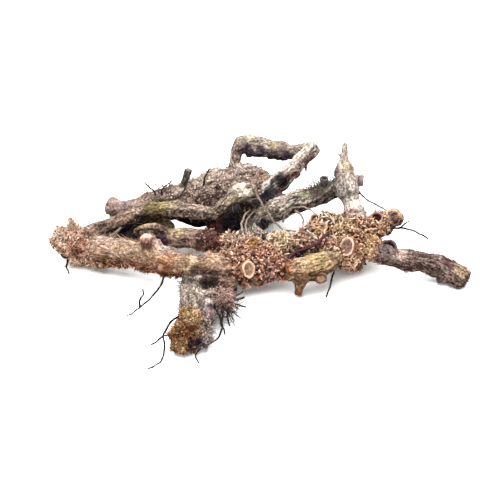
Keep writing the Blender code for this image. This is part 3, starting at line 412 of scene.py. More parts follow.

# Local tints, among them painted shade and painted highlights: x, y, z, reach, sRGB colour and strength.
PATCHES = [
    # Left end: pale outside, dark red-brown painted shade in its pits, a painted highlight low in front, a
    # painted shadow below.
    (-88, 14, 15, 4, 248, 226, 196, 0.6), (-84, 17, 19, 4, 238, 204, 174, 0.6),
    (-78, 8, 13, 5, 212, 150, 122, 0.45), (-79, 6, 11, 2.5, 96, 44, 32, 0.8),
    (-74, 13, 17, 3, 88, 40, 36, 0.8), (-75, 8, 3, 2, 70, 50, 44, 0.6),
    (-70, 4, 6, 1.5, 236, 208, 196, 0.8), (-68, 3, 10, 2.5, 134, 100, 68, 0.7),
    # Front bar: a painted highlight along its top edge, olive along its middle, orange-brown fuzz below, and
    # painted shade under its front side.
    (-69, 9, 16, 4, 238, 210, 196, 0.7), (-65, 9, 16, 3, 232, 204, 188, 0.6),
    (-70, 4, 13, 4, 186, 146, 120, 0.4), (-58, 2, 16, 5, 226, 190, 162, 0.5),
    (-51, -4, 16, 4.5, 176, 148, 104, 0.45), (-45, -7, 17, 4, 180, 150, 104, 0.4),
    (-60, 1, 8, 4.5, 196, 142, 112, 0.45), (-53, -5, 9, 4.5, 182, 122, 94, 0.5),
    (-47, -9, 11, 4, 154, 92, 66, 0.55), (-40, -13, 16, 5, 216, 142, 98, 0.5),
    (-40, -14, 12, 4, 120, 54, 36, 0.7), (-38, -14, 10, 3, 220, 166, 98, 0.6),
    (-34, -16, 11, 3, 86, 54, 66, 0.8), (-31, -16, 17, 5, 188, 156, 116, 0.45),
    (-27, -18.5, 14.5, 4, 76, 50, 38, 0.85), (-21, -19.5, 14, 5, 64, 42, 34, 0.88),
    (-24, -16, 18, 3, 150, 118, 84, 0.5), (-20, -16, 18, 4, 222, 182, 150, 0.6),
    # Painted shade in the streaked band under it, above the front end.
    (-27, -20, 15, 2.4, 96, 72, 74, 0.75), (-23, -23, 15, 2.4, 88, 66, 66, 0.75),
    (-19, -24, 15, 2.4, 104, 78, 66, 0.7), (-36, -16, 9, 2.2, 66, 44, 48, 0.85),
    (-31, -25, 14, 2.8, 52, 36, 38, 0.85), (-28, -27, 15, 2.6, 44, 32, 30, 0.85),
    (-24, -25, 13, 2.4, 34, 24, 22, 0.9), (-20, -26, 13, 2.4, 44, 32, 26, 0.88),
    (-16, -26, 12, 2.4, 52, 36, 28, 0.85),
    # The stub on top of the bar, and its flare.
    (-48, -1, 23, 2.4, 240, 212, 194, 0.9), (-50, -1, 22, 2, 216, 182, 160, 0.8),
    (-47.5, -4, 19.5, 3.6, 150, 106, 96, 0.88), (-48, -4, 19, 2, 96, 58, 58, 0.7),
    (-42.5, -4.5, 20, 3, 230, 198, 180, 0.8), (-41, -6, 18, 3, 230, 204, 190, 0.7),
    # Bowed stem and its knob.
    (-69, 21, 14, 6, 112, 84, 76, 0.6), (-59, 23, 17, 3, 92, 60, 64, 0.7),
    (-62, 24, 18, 5, 136, 106, 88, 0.5), (-59, 25, 19, 4, 180, 154, 126, 0.4),
    (-46, 26, 23, 4.5, 150, 140, 66, 0.55), (-41, 26, 23, 4, 176, 162, 104, 0.35),
    (-48, 25, 19, 6, 124, 98, 66, 0.5), (-28, 28, 22, 6, 190, 164, 148, 0.45),
    (-19, 28, 14, 4, 98, 52, 50, 0.8), (-8, 31, 29, 6.5, 250, 228, 210, 0.9),
    (-10, 30, 26, 5, 240, 218, 194, 0.7), (-11, 30, 23, 2.6, 206, 190, 136, 0.6),
    (-5, 33, 30, 2.2, 48, 30, 34, 0.85),
    # Inner stem, and painted shade in the gap behind it.
    (-49, 20, 16, 4, 196, 170, 138, 0.6), (-59, 24, 11, 5, 24, 22, 36, 0.9),
    (-61, 22, 11, 4, 30, 26, 36, 0.9), (-44, 21, 9, 4.5, 70, 48, 70, 0.85),
    (-37, 22, 12, 5, 196, 176, 136, 0.5), (-28, 16, 11, 5, 178, 140, 128, 0.5),
    (-19, 11, 14, 4, 128, 64, 56, 0.7),
    # Centre clump and ridge, with painted shade in a dark column behind and in a purple band below.
    (-9, 1, 19, 5, 244, 200, 174, 0.45), (-3, -3, 19, 4, 238, 168, 104, 0.6),
    (0, 4, 19, 3, 24, 22, 40, 0.92), (4, -13, 11, 5, 182, 136, 126, 0.5),
    (10, 2, 19, 6, 236, 208, 166, 0.5), (17, 6, 19, 4, 206, 150, 130, 0.5),
    (18, 2, 13, 3, 72, 36, 46, 0.9), (24, 0, 19, 3.5, 62, 28, 46, 0.9),
    (12, -11, 16, 3, 36, 26, 28, 0.9),
    # Right clump.
    (26, 9, 20, 3, 212, 164, 104, 0.6), (36, 10, 21, 5, 238, 204, 154, 0.5),
    (41, 29, 19, 3, 100, 50, 42, 0.7), (48, 8, 17, 5, 224, 184, 134, 0.55),
    (45, 1, 14, 4, 244, 200, 150, 0.7), (38, -1, 10, 4.5, 255, 204, 168, 0.85),
    (34, 3, 5, 3.5, 232, 166, 130, 0.7), (30, -8, 15, 3, 100, 52, 40, 0.6),
    # The stem in front of it.
    (12, -14, 16, 3, 176, 112, 90, 0.7), (11, -15, 13, 3, 206, 132, 84, 0.75),
    (16, -13, 17, 2.4, 230, 194, 158, 0.7), (16, -18, 11, 3.5, 126, 76, 58, 0.6),
    (24, -11, 17, 5, 202, 178, 118, 0.55), (21, -15, 15, 5, 176, 134, 98, 0.5),
    (28, -12, 14, 3, 206, 162, 116, 0.5),
    # Right arm.
    (52, 3, 17, 2.6, 78, 76, 72, 0.6), (50, -1, 13, 4, 132, 104, 110, 0.5),
    (59, 1, 14, 5, 204, 176, 164, 0.5), (69, -3, 11, 5, 126, 98, 90, 0.4),
    (80, -2, 10, 4, 92, 48, 52, 0.7), (84, -7, 8, 4, 182, 156, 112, 0.5),
    # Loop, painted shade on its purple underside, its leg, and painted shade in the hollow under it.
    (6, 71, 33, 3.5, 166, 148, 104, 0.6), (-5, 71, 30, 3.6, 84, 66, 80, 0.9),
    (0, 70, 30, 3.6, 80, 62, 78, 0.9), (6, 69, 29, 3.6, 92, 74, 84, 0.9),
    (12, 69, 28, 3.6, 82, 64, 74, 0.9), (23, 64, 29, 3.5, 104, 64, 66, 0.85),
    (20, 61, 28, 3, 112, 72, 70, 0.7), (12, 57, 23, 3, 84, 42, 54, 0.8),
    (9, 55, 21, 5, 40, 31, 44, 0.9), (5, 54, 17, 5, 31, 26, 38, 0.9),
    (3, 50, 15, 4, 30, 25, 36, 0.9), (1, 66, 19, 3, 220, 170, 112, 0.6),
    # Back mass and back right.
    (-29, 65, 20, 6, 160, 142, 116, 0.45), (-65, 57, 8, 5, 176, 150, 150, 0.5),
    (-2, 31, 28, 2.5, 160, 146, 92, 0.5), (40, 45, 33, 4, 208, 186, 140, 0.5),
    (34, 45, 31, 3, 120, 100, 106, 0.7), (40, 37, 22, 7, 250, 236, 222, 0.8),
    # Middle stem, with painted shade on it.
    (1, 37, 15, 4, 188, 176, 142, 0.5), (11, 42, 20, 4, 176, 152, 146, 0.6),
    (20, 43, 21, 4, 150, 148, 104, 0.6), (26, 44, 23, 5, 98, 86, 84, 0.7),
    (-5, 33, 12, 4, 66, 58, 62, 0.8), (1, 32, 10, 5, 26, 24, 40, 0.92),
    (18, 40, 15, 3, 64, 50, 74, 0.8),
    # Front end: grey fibrous top, brown crown, mossy orange below, and purple painted shade underneath and
    # round the crown.
    (-29, -31, 13, 5, 188, 174, 156, 0.6), (-33, -23, 7, 3, 66, 66, 56, 0.8),
    (-22, -31, 13, 4, 204, 188, 176, 0.7), (-20, -26, 13, 3, 40, 30, 28, 0.9),
    (-15, -26, 12, 3, 84, 68, 52, 0.7), (-12, -24, 14, 4.5, 134, 106, 88, 0.7),
    (-16, -32, 12, 4, 200, 156, 140, 0.5), (-20, -38, 10, 3, 40, 24, 24, 0.9),
    (-22, -43, 9, 4, 186, 148, 146, 0.7), (-21, -55, 7, 4, 204, 186, 188, 0.5),
    (-27, -48, 11, 4.5, 234, 196, 144, 0.7), (-26, -55, 10, 3.2, 108, 46, 26, 0.85),
    (-29, -57, 10, 3.5, 128, 74, 34, 0.7), (-35, -58, 6, 3.5, 128, 58, 34, 0.75),
    (-33, -61, 5, 3, 210, 160, 108, 0.5), (-24, -54, 7, 2.5, 232, 186, 146, 0.7),
    (-27, -60, 5, 3.4, 70, 46, 56, 0.88), (-25, -58, 6, 3, 62, 38, 54, 0.88),
]

# How pale the rootlets are that lie across the shaded middle, from 0 to 1.
PALE_ROOTS = {"crossing": 0.5, "arch": 0.75, "middle_1": 0.9, "middle_2": 0.7, "middle_3": 0.8,
              "stick_root": 0.05, "right_back_1": 0.2, "crown_1": 0.1, "crown_3": 0.1, "between_stick": 0.45}

# The sRGB colours of dark and of pale rootlets, of the one purple rootlet, and of the hair roots on each.
ROOT_DARK = (44, 34, 30)
ROOT_PALE = (178, 156, 142)
ROOT_PURPLE = (86, 48, 56)
HAIR_DARK = (50, 38, 32)
HAIR_PALE = (170, 146, 128)

# The rootlets that are thicker than the rest, and by how much.
ROOT_GIRTHS = {"cross_root": 1.8, "between_stick": 1.9, "crossing": 1.15, "stick_root": 1.3, "far_right": 1.2}

# Tufts of fine roots: middle, spread, heading, how many, length, thickness and sRGB colour.
TUFTS = {
    "crown": [(-14, -32, 8), 3.5, (1.0, -0.5, -0.3), 26, 6.0, 0.2, (104, 72, 62)],
    "crown_low": [(-18, -38, 7), 4.0, (0.7, -0.9, -0.6), 16, 5.0, 0.18, (96, 76, 68)],
    "crown_curls": [(-16, -33, 10), 4.5, (0.4, -0.6, 0.3), 90, 4.0, 0.17, (212, 176, 162)],
    "front_end": [(-24, -52, 6), 4.0, (1.0, -0.3, -0.2), 46, 5.0, 0.1, (84, 60, 46)],
    "inner_right": [(24, 45, 20), 9.0, (0.2, -0.4, 1.0), 80, 7.0, 0.14, (120, 100, 88)],
    "middle": [(2, 38, 14), 6.0, (0.2, -0.8, 0.4), 60, 7.0, 0.13, (128, 108, 98)],
    "left_back": [(-47, 58, 14), 6.0, (0.0, -0.3, 1.0), 60, 6.0, 0.17, (84, 74, 56)],
    "left_top": [(-82, 17, 18), 4.0, (0.0, -0.4, 1.0), 120, 4.0, 0.14, (228, 190, 156)],
    "far_right_top": [(50, 23, 20), 6.0, (0.3, 0.0, 1.0), 80, 5.0, 0.14, (138, 136, 118)],
    "inner_dark": [(31, 46, 23), 6.0, (0.0, -0.5, 1.0), 130, 5.5, 0.16, (112, 100, 96)],
    "inner_green": [(24, 45, 22), 4.0, (-0.2, -0.4, 1.0), 90, 4.5, 0.15, (118, 120, 96)],
    "crown_hang": [(-14, -34, 8), 3.2, (0.35, -0.5, -1.0), 26, 8.0, 0.34, (72, 56, 48)],
    "left_end": [(-84, 13, 9), 4.0, (-1.0, -0.4, 0.1), 40, 5.0, 0.1, (120, 76, 50)],
    "far_right": [(52, 17, 14), 4.0, (0.8, -0.5, 0.3), 26, 6.0, 0.12, (60, 42, 34)],
}

# Noises that run through space: the size of their features in millimetres, and their seed.
NOISES = {
    "crack_spots": (6.0, 12),
    "lumps": (3.4, 15),
    "grit": (1.1, 19),
    "clod_shift": (2.0, 24),
    "slopes": (5.0, 27),
    "blotches": (7.0, 31),
    "specks": (0.7, 33),
    "small_blotches": (2.3, 35),
    "mat_ends": (3.0, 40),
    "mat_sides": (4.0, 41),
    "scar_wobble": (1.6, 51),
    "scar_bumps": (1.1, 53),
    "scar_grit": (0.9, 57),
    "root_knots": (1.3, 67),
    "root_specks": (1.5, 69),
}

# Noises drawn out along the stems: how often they change round the stem, how far they run along it in
# millimetres, how far apart two stems' noises are, and their seed. The first three end with a line's width.
GROOVES = (4.2, 10.0, 5.3, 1, 0.1)
HAIRLINES = (9.0, 6.0, 3.1, 5, 0.15)
CRACKS = (1.6, 1.3, 2.7, 9, 0.07)
STREAKS = (7.0, 3.0, 4.1, 29)

# The ragged crumbs and clods of a mat, and the pits of a scar: their size in millimetres and their seed.
CRUMBS = (1.9, 23)
CLODS = (3.6, 26)
SCAR_PITS = (0.9, 55)

# The relief of the bark in millimetres. Between its grooves it stands GROOVE_EDGE of their depth higher. The
# stubs' grooves are STUB_GROOVES deep, and those that are FULL_GROOVE deep are the darkest.
GROOVE_EDGE = 0.35
STUB_GROOVES = 0.25
FULL_GROOVE = 0.5
HAIRLINE_DEPTH = 0.2
CRACK_DEPTH = 0.22
GRIT_HEIGHT = 0.12
LUMP_HEIGHT = 0.35
FLAKE_DEPTH = 0.9
CRUMB_HEIGHT = 0.9
CLOD_HEIGHT = 0.7

# How much painted shade the grooves, hairlines and cracks of the bark get, and the gaps between crumbs, clods
# and flakes.
GROOVE_PIT = 0.9
HAIRLINE_PIT = 0.35
CRACK_PIT = 0.5
CRUMB_PIT = 1.1
CLOD_PIT = 0.7
FLAKE_PIT = 0.5

# How much the streaks, specks and lumps add to the tone and painted light on the bark, and how far the slope
# wanders that paints its light. Then how much the crumbs, clods and grit add to the tone of a mat's ground,
# and the slope and flakes to its painted light and shade, in that order.
STREAK_LIGHT = 0.6
SPECK_LIGHT = 0.9
LUMP_LIGHT = 0.4
SLOPE_WANDER = 0.25
GROUND_SHARES = (0.55, 0.35, 0.3, 0.25, 0.2)

# How much of its light a pit in the bark or the mats loses as painted shade. How strongly the sides of the
# stubs and the local tints follow the painted light and tone of the bark, and the painted light at which they
# have the table's colour.
PIT_SHADE = 0.8
STUB_LIGHT = (0.3, 0.3)
PATCH_LIGHT = (0.75, 0.55)

# A local tint's fading edge and how far it wanders, as shares of its reach.
PATCH_EDGE = (1.2, 0.5)
PATCH_WANDER = 0.5

# Where a colour goes from dark to middle and from middle to light: with the painted light and tone of the
# bark, with the painted light and tone of a mat's ground, and in the draw of a fibre's or a flake's colour.
BARK_STEPS = ((-0.65, 0.05), (0.05, 0.85))
GROUND_STEPS = ((-0.1, 0.45), (0.45, 1.1))
DRAWN_STEPS = ((0.0, 0.45), (0.5, 0.95))

# A flake's three rings: their width as a share of the flake's, and the way to the next as a share of its
# length. Then its thickness as a share of its width, how deep it is rooted, and the painted light along it:
# painted shade at its root and a painted highlight at its tip.
FLAKE_RINGS = ((0.55, 0.35), (1.0, 0.4), (0.72, 0.25))
FLAKE_BULGE = 0.3
FLAKE_ROOTED = 0.35
FLAKE_PAINTED_LIGHT = np.array([0.36, 0.36, 0.5, 0.86, 0.86, 1.0, 1.1, 1.1, 1.22, 1.3])

# The spans of the draws. Of a flake: length and width, as shares of the mat's, lift and curl in radians. Of a
# fibre and a hair root: length and radius in millimetres, and curl. Of a fibre of felt and a tuft's root:
# length and radius, in millimetres or as shares of the table's, and curl.
FLAKE_SPANS = ((0.6, 1.5), (0.7, 1.3), (0.0, 0.9), (-1.2, 0.8))
FIBRE_SPANS = ((1.1, 3.2), (0.07, 0.13), (1.5, 5.0))
HAIR_SPANS = ((2.0, 6.0), (0.1, 0.18), (0.4, 2.4))
FELT_SPANS = ((0.5, 1.4), (0.09, 0.17))
FELT_CURL = 0.6
TUFT_SPANS = ((0.6, 1.4), (0.7, 1.3), (0.3, 3.0))

# How deep a thread is rooted in millimetres, how much thinner its tip is, and its stray at each point.
THREAD_ROOTED = 0.4
THREAD_TAPER = 0.75
THREAD_STRAY = 0.16

# The materials: roughness, grains a metre, depth of the grain in millimetres, and how strongly it speckles.
MATERIALS = {
    "polypody_bark": (0.82, 1100.0, 0.6, 0.6),
    "papery_scales": (0.7, 700.0, 0.15, 0.25),
    "felt_fibres": (0.75, 500.0, 0.02, 0.3),
    "wiry_roots": (0.6, 1200.0, 0.1, 0.4),
    "corky_scars": (0.85, 1400.0, 0.25, 0.25),
}

# The floor's colour, the sky's strength, and each lamp's place in metres, size in metres and power in watts.
FLOOR_COLOUR = (0.92, 0.92, 0.92, 1)
SKY_STRENGTH = 1.6
LAMPS = {
    "key": ((-0.18, -0.28, 0.75), 0.7, 13.0),
    "top": ((0.25, 0.35, 0.8), 0.8, 10.0),
}

# The photograph's view: its height above the floor in degrees, its distance, its aim and its focal length in
# pixels of the 500-pixel frame.
VIEW_ELEVATION = 28.0
VIEW_DISTANCE = 520.0
VIEW_AIM = np.array((-4.7, 0.0, 15.0))
VIEW_FOCAL_PX = 1226.0
FRAME_PX = 500
SENSOR = 36.0

# The path of a stem or a stub: its points and radii, its directions along and across, and the way so far.
Line = namedtuple("Line", "name centres radii tangents across over along")


def noise3(points, seed):
    """Smooth noise from about -1 to 1 at each point, with features about one unit across."""
    low = np.floor(points).astype(np.int64)
    part = points - low
    ease = part ** 3 * (part * (part * 6 - 15) + 10)
    total = np.zeros(len(points))
    for corner in product((0, 1), repeat=3):
        step = np.array(corner)
        weight = np.where(step, ease, 1 - ease).prod(axis=1)
        slope = np.stack([hashed(low + step, seed + axis) for axis in range(3)], axis=1) * 2 - 1
        total += weight * (slope * (part - step)).sum(axis=1)
    return total * 1.5


def noise_of(kind, points):
    size, seed = NOISES[kind]
    return noise3(points / size, seed)


def hashed(cells, seed):
    """A number from 0 to 1 for each whole-number cell, by mixing its bits with large primes."""
    x, y, z = cells.T
    bits = x * 73856093 ^ y * 19349663 ^ z * 83492791 ^ (seed + 1) * 265443576
    bits = (bits ^ bits >> 13) * 1274126177 & 0xFFFFFFFF
    return ((bits ^ bits >> 16) & 0xFFFFFF) / 0xFFFFFF


def cells3(points, seed):
    """The distances to the nearest two of some scattered points, and a number from 0 to 1 for the first."""
    low = np.floor(points).astype(np.int64)
    first = np.full(len(points), 9.0)
    second = first.copy()
    tag = np.zeros(len(points))
    for corner in product((-1, 0, 1), repeat=3):
        cell = low + np.array(corner)
        place = cell + np.stack([hashed(cell, seed + axis) for axis in range(3)], axis=1)
        distance = np.linalg.norm(place - points, axis=1)
        nearer = distance < first
        second = np.where(nearer, first, np.minimum(second, distance))
        first = np.where(nearer, distance, first)
        tag = np.where(nearer, hashed(cell, seed + 7), tag)
    return first, second, tag


def crumbs(points, size, seed):
    """Flat-topped crumbs about size across: 1 on each, 0 in the crevices round it, and a number for each."""
    first, second, tag = cells3(points / size, seed)
    return np.minimum(1, 2.6 * (second - first)), tag


def ramp(value, low, high):
    """0 below low, 1 above high, smooth between. high may be the smaller one."""
    t = np.clip((value - low) / (high - low), 0, 1)
    return t * t * (3 - 2 * t)


def linear(colours):
    """Linear light from sRGB values of 0 to 255."""
    c = np.asarray(colours, float) / 255
    return np.where(c <= 0.04045, c / 12.92, ((c + 0.055) / 1.055) ** 2.4)


def mixed(a, b, share):
    return a + (b - a) * share[:, None]


def blended(colours, value, dark_to_middle, middle_to_light):
    """A mix of a light, a middle and a dark colour, lighter as the value goes through the two steps."""
    light, middle, dark = (colours[..., row, :] for row in range(3))
    return mixed(mixed(dark, middle, ramp(value, *dark_to_middle)), light, ramp(value, *middle_to_light))


def lit(colour, level, strength, middle):
    """One colour made lighter and darker with the painted light and tone of the bark."""
    return linear(colour) * np.exp(strength * (level - middle))[:, None]


def unit(vectors):
    return vectors / np.maximum(np.linalg.norm(vectors, axis=-1, keepdims=True), 1e-9)


def spline(points, step):
    """Rows every step along a smooth curve through the given rows."""
    rows = np.array([list(p) for p in points], float)
    rows = np.vstack([2 * rows[0] - rows[1], rows, 2 * rows[-1] - rows[-2]])
    found = []
    for a, b, c, d in zip(rows, rows[1:], rows[2:], rows[3:]):
        pieces = max(1, round(math.dist(b[:3], c[:3]) / step))
        for i in range(pieces):
            t = i / pieces
            found.append(0.5 * (2 * b + (c - a) * t + (2 * a - 5 * b + 4 * c - d) * t ** 2
                                + (3 * b - a - 3 * c + d) * t ** 3))
    found.append(rows[-2])
    return np.array(found)


def frames(centres):
    """A tangent and two directions across it at each point of a path, carried along without twist."""
    tangents = unit(np.gradient(centres, axis=0))
    first = np.array(Vector(tangents[0]).orthogonal().normalized())
    across = []
    for tangent in tangents:
        first = unit(first - tangent * first.dot(tangent))
        across.append(first)
    across = np.array(across)
    return tangents, across, np.cross(tangents, across)


def angles(sides):
    return np.arange(sides) * 2 * math.pi / sides


def spokes(across, over, sides):
    """The directions from each ring's centre to its points."""
    turns = angles(sides)[:, None]
    return across[..., None, :] * np.cos(turns) + over[..., None, :] * np.sin(turns)


def stem_shape(name):
    """The line and the rings of one stem, as the part has them, in the part's frame."""
    path = spline(STEMS[name], RING_STEP)
    centres, girths = path[:, :3], path[:, 3]
    tangents, across, over = frames(centres)
    along = np.append(0, np.linalg.norm(np.diff(centres, axis=0), axis=1).cumsum())
    turns = angles(STEM_SIDES)
    ring = np.stack([np.cos(turns), np.sin(turns), np.zeros(STEM_SIDES)], axis=1)
    spots = (centres / LUMP_SIZE)[:, None] + ring
    bumps = np.array([noise.noise(Vector(p)) for p in spots.reshape(-1, 3)]).reshape(len(path), -1)
    swell = NODE_SWELL * np.cos(2 * math.pi * along / NODE_PITCH)
    flute = FLUTE_DEPTH * np.cos(FLUTES * turns + (along / NODE_PITCH)[:, None])
    lumps = MATTED.get(name, LUMP_DEPTH)
    radii = STEM_R * girths[:, None] * (1 + swell[:, None] + flute + lumps * bumps)
    rings = list(centres[:, None] + spokes(across, over, STEM_SIDES) * radii[..., None])
    for end, row, sign in (("first", 0, -1), ("last", -1, 1)):
        if CUT_ENDS.get(name) == end:
            continue
        edge, tangent = rings[row], tangents[row]
        dome = [
            centres[row] + (edge - centres[row]) * narrow + tangent * sign * out * STEM_R * girths[row]
            for out, narrow in DOME
        ]
        rings = dome[::-1] + rings if end == "first" else rings + dome
    return Line(name, centres, radii.mean(axis=1), tangents, across, over, along), np.array(rings)


def stub_shape(name):
    """The line and the rings of one stub, which stops short where a scar's cup goes on from it."""
    base, tip, base_r, tip_r, cup = SCARS[name]
    base_r *= SPREAD.get(name, 1.0)
    tip_r *= SPREAD.get(name, 1.0)
    ends = np.array([base, tip], float)
    if cup > SHALLOW_CUP:
        ends[1] -= unit(ends[1] - ends[0]) * (cup + CUP_FLOOR)
    shares = np.linspace(0, 1, STUB_RINGS)
    centres = ends[0] + (ends[1] - ends[0]) * shares[:, None]
    tangents, across, over = frames(centres)
    radii = base_r + (tip_r - base_r) * ramp(shares, 0, STUB_FLARE)
    rings = centres[:, None] + spokes(across, over, STEM_SIDES) * radii[:, None, None]
    rings[-1] = centres[-1] + (rings[-1] - centres[-1]) * STUB_END
    return Line(name, centres, radii, tangents, across, over, shares * math.dist(base, tip)), rings


def skin_over(rings):
    """The points and faces of a closed skin over rings of points."""
    count, sides = rings.shape[:2]
    points = np.vstack([rings.reshape(-1, 3), rings[0].mean(axis=0), rings[-1].mean(axis=0)])
    faces = []
    for i in range(count - 1):
        for j in range(sides):
            k = (j + 1) % sides
            faces.append((i * sides + j, i * sides + k, (i + 1) * sides + k, (i + 1) * sides + j))
    last = (count - 1) * sides
    for j in range(sides):
        k = (j + 1) % sides
        faces.append((k, j, count * sides))
        faces.append((last + j, last + k, count * sides + 1))
    return points, faces


def mesh_object(name, points, faces):
    """A smooth mesh object from points in the tables' millimetres."""
    data = bpy.data.meshes.new(name)
    data.from_pydata(((points - CENTRE) * MM).tolist(), [], faces)
    data.shade_smooth()
    obj = bpy.data.objects.new(name, data)
    bpy.context.scene.collection.objects.link(obj)
    return obj


def joined(shells):
    """Several shells of points and faces as one."""
    points = np.vstack([p for p, _ in shells])
    faces = []
    start = 0
    for shell_points, shell_faces in shells:
        faces += [tuple(i + start for i in face) for face in shell_faces]
        start += len(shell_points)
    return points, faces


def read_points(obj):
    """The points in millimetres and the normals of a mesh object."""
    points = np.empty(len(obj.data.vertices) * 3)
    obj.data.vertices.foreach_get("co", points)
    normals = np.empty(len(obj.data.vertices) * 3, np.float32)
    obj.data.vertex_normals.foreach_get("vector", normals)
    return points.reshape(-1, 3) / MM + CENTRE, normals.reshape(-1, 3).astype(float)


def write_points(obj, points):
    obj.data.vertices.foreach_set("co", ((points - CENTRE) * MM).ravel())
    obj.data.update()


def write_tone(obj, colours):
    """Stores one linear colour a point, which the materials start from."""
    tone = obj.data.color_attributes.new("tone", "FLOAT_COLOR", "POINT")
    shown = np.clip(colours * PAINT_SHARE, 0, 1)
    tone.data.foreach_set("color", np.hstack([shown, np.ones((len(shown), 1))]).ravel())


def fused(name, shells):
    """All the shells fused into one smooth, fine skin."""
    obj = mesh_object(name, *joined(shells))
    remesh = obj.modifiers.new("fuse", "REMESH")
    remesh.mode = "VOXEL"
    remesh.voxel_size = VOXEL * MM
    remesh.use_smooth_shade = True
    smooth = obj.modifiers.new("smooth", "SMOOTH")
    smooth.factor = 0.5
    smooth.iterations = 2
    graph = bpy.context.evaluated_depsgraph_get()
    data = bpy.data.meshes.new_from_object(obj.evaluated_get(graph))
    obj.modifiers.clear()
    obj.data = data
    return obj


def nearest_lines(points, lines):
    """For each point, the line whose surface it lies on, and its place along and round that line."""
    _, *columns = zip(*lines)
    centres, radii, tangents, across, over, along = (np.concatenate(column) for column in columns)
    owner = np.repeat(np.arange(len(lines)), [len(line.radii) for line in lines])
    best = np.concatenate([
        (np.linalg.norm(part[:, None] - centres, axis=2) - radii).argmin(axis=1)
        for part in np.array_split(points, len(points) // POINTS_AT_ONCE + 1)
    ])
    offset = points - centres[best]
    place = along[best] + (offset * tangents[best]).sum(axis=1)
    angle = np.arctan2((offset * over[best]).sum(axis=1), (offset * across[best]).sum(axis=1))
    lengths = np.array([line.along[-1] for line in lines])
    share = np.clip(place / lengths[owner[best]], 0, 1)
    return owner[best], place, share, angle, centres[best], tangents[best]


def mat_shares(lines, owner, share, points, centres):
    """For each mat, how far each point is inside it, from 0 to 1."""
    names = [line.name for line in lines]
    edge = share + MAT_EDGE * noise_of("mat_ends", points)
    found = {}
    for mat, (stem, start, stop, side, *_) in MATS.items():
        if stem not in names:
            continue
        inside = np.where(owner == names.index(stem), 1.0, 0.0)
        if start > 0:
            inside *= ramp(edge, start - MAT_EDGE, start + MAT_EDGE)
        if stop < 1:
            inside *= ramp(edge, stop + MAT_EDGE, stop - MAT_EDGE)
        if side == "below":
            inside *= ramp(centres[:, 2] - points[:, 2] + 1.5 * noise_of("mat_sides", points), -0.4, 1.6)
        for stub in MAT_STUBS.get(mat, ()):
            inside = np.where(owner == names.index(stub), ramp(share, 1.0, 0.85), inside)
        found[mat] = inside
    return found


def flake_relief(points):
    """The part's own relief of flat-topped, tilted flakes."""
    heights = []
    for p in points:
        place = Vector(p / FLAKE_SIZE)
        (first, second, *_), (middle, *_) = noise.voronoi(place)
        tilt = noise.cell_vector(middle * 7.0).dot(place - middle)
        heights.append(min(1.0, 3.0 * (second - first)) - 0.75 + FLAKE_TILT * tilt)
    return np.array(heights)


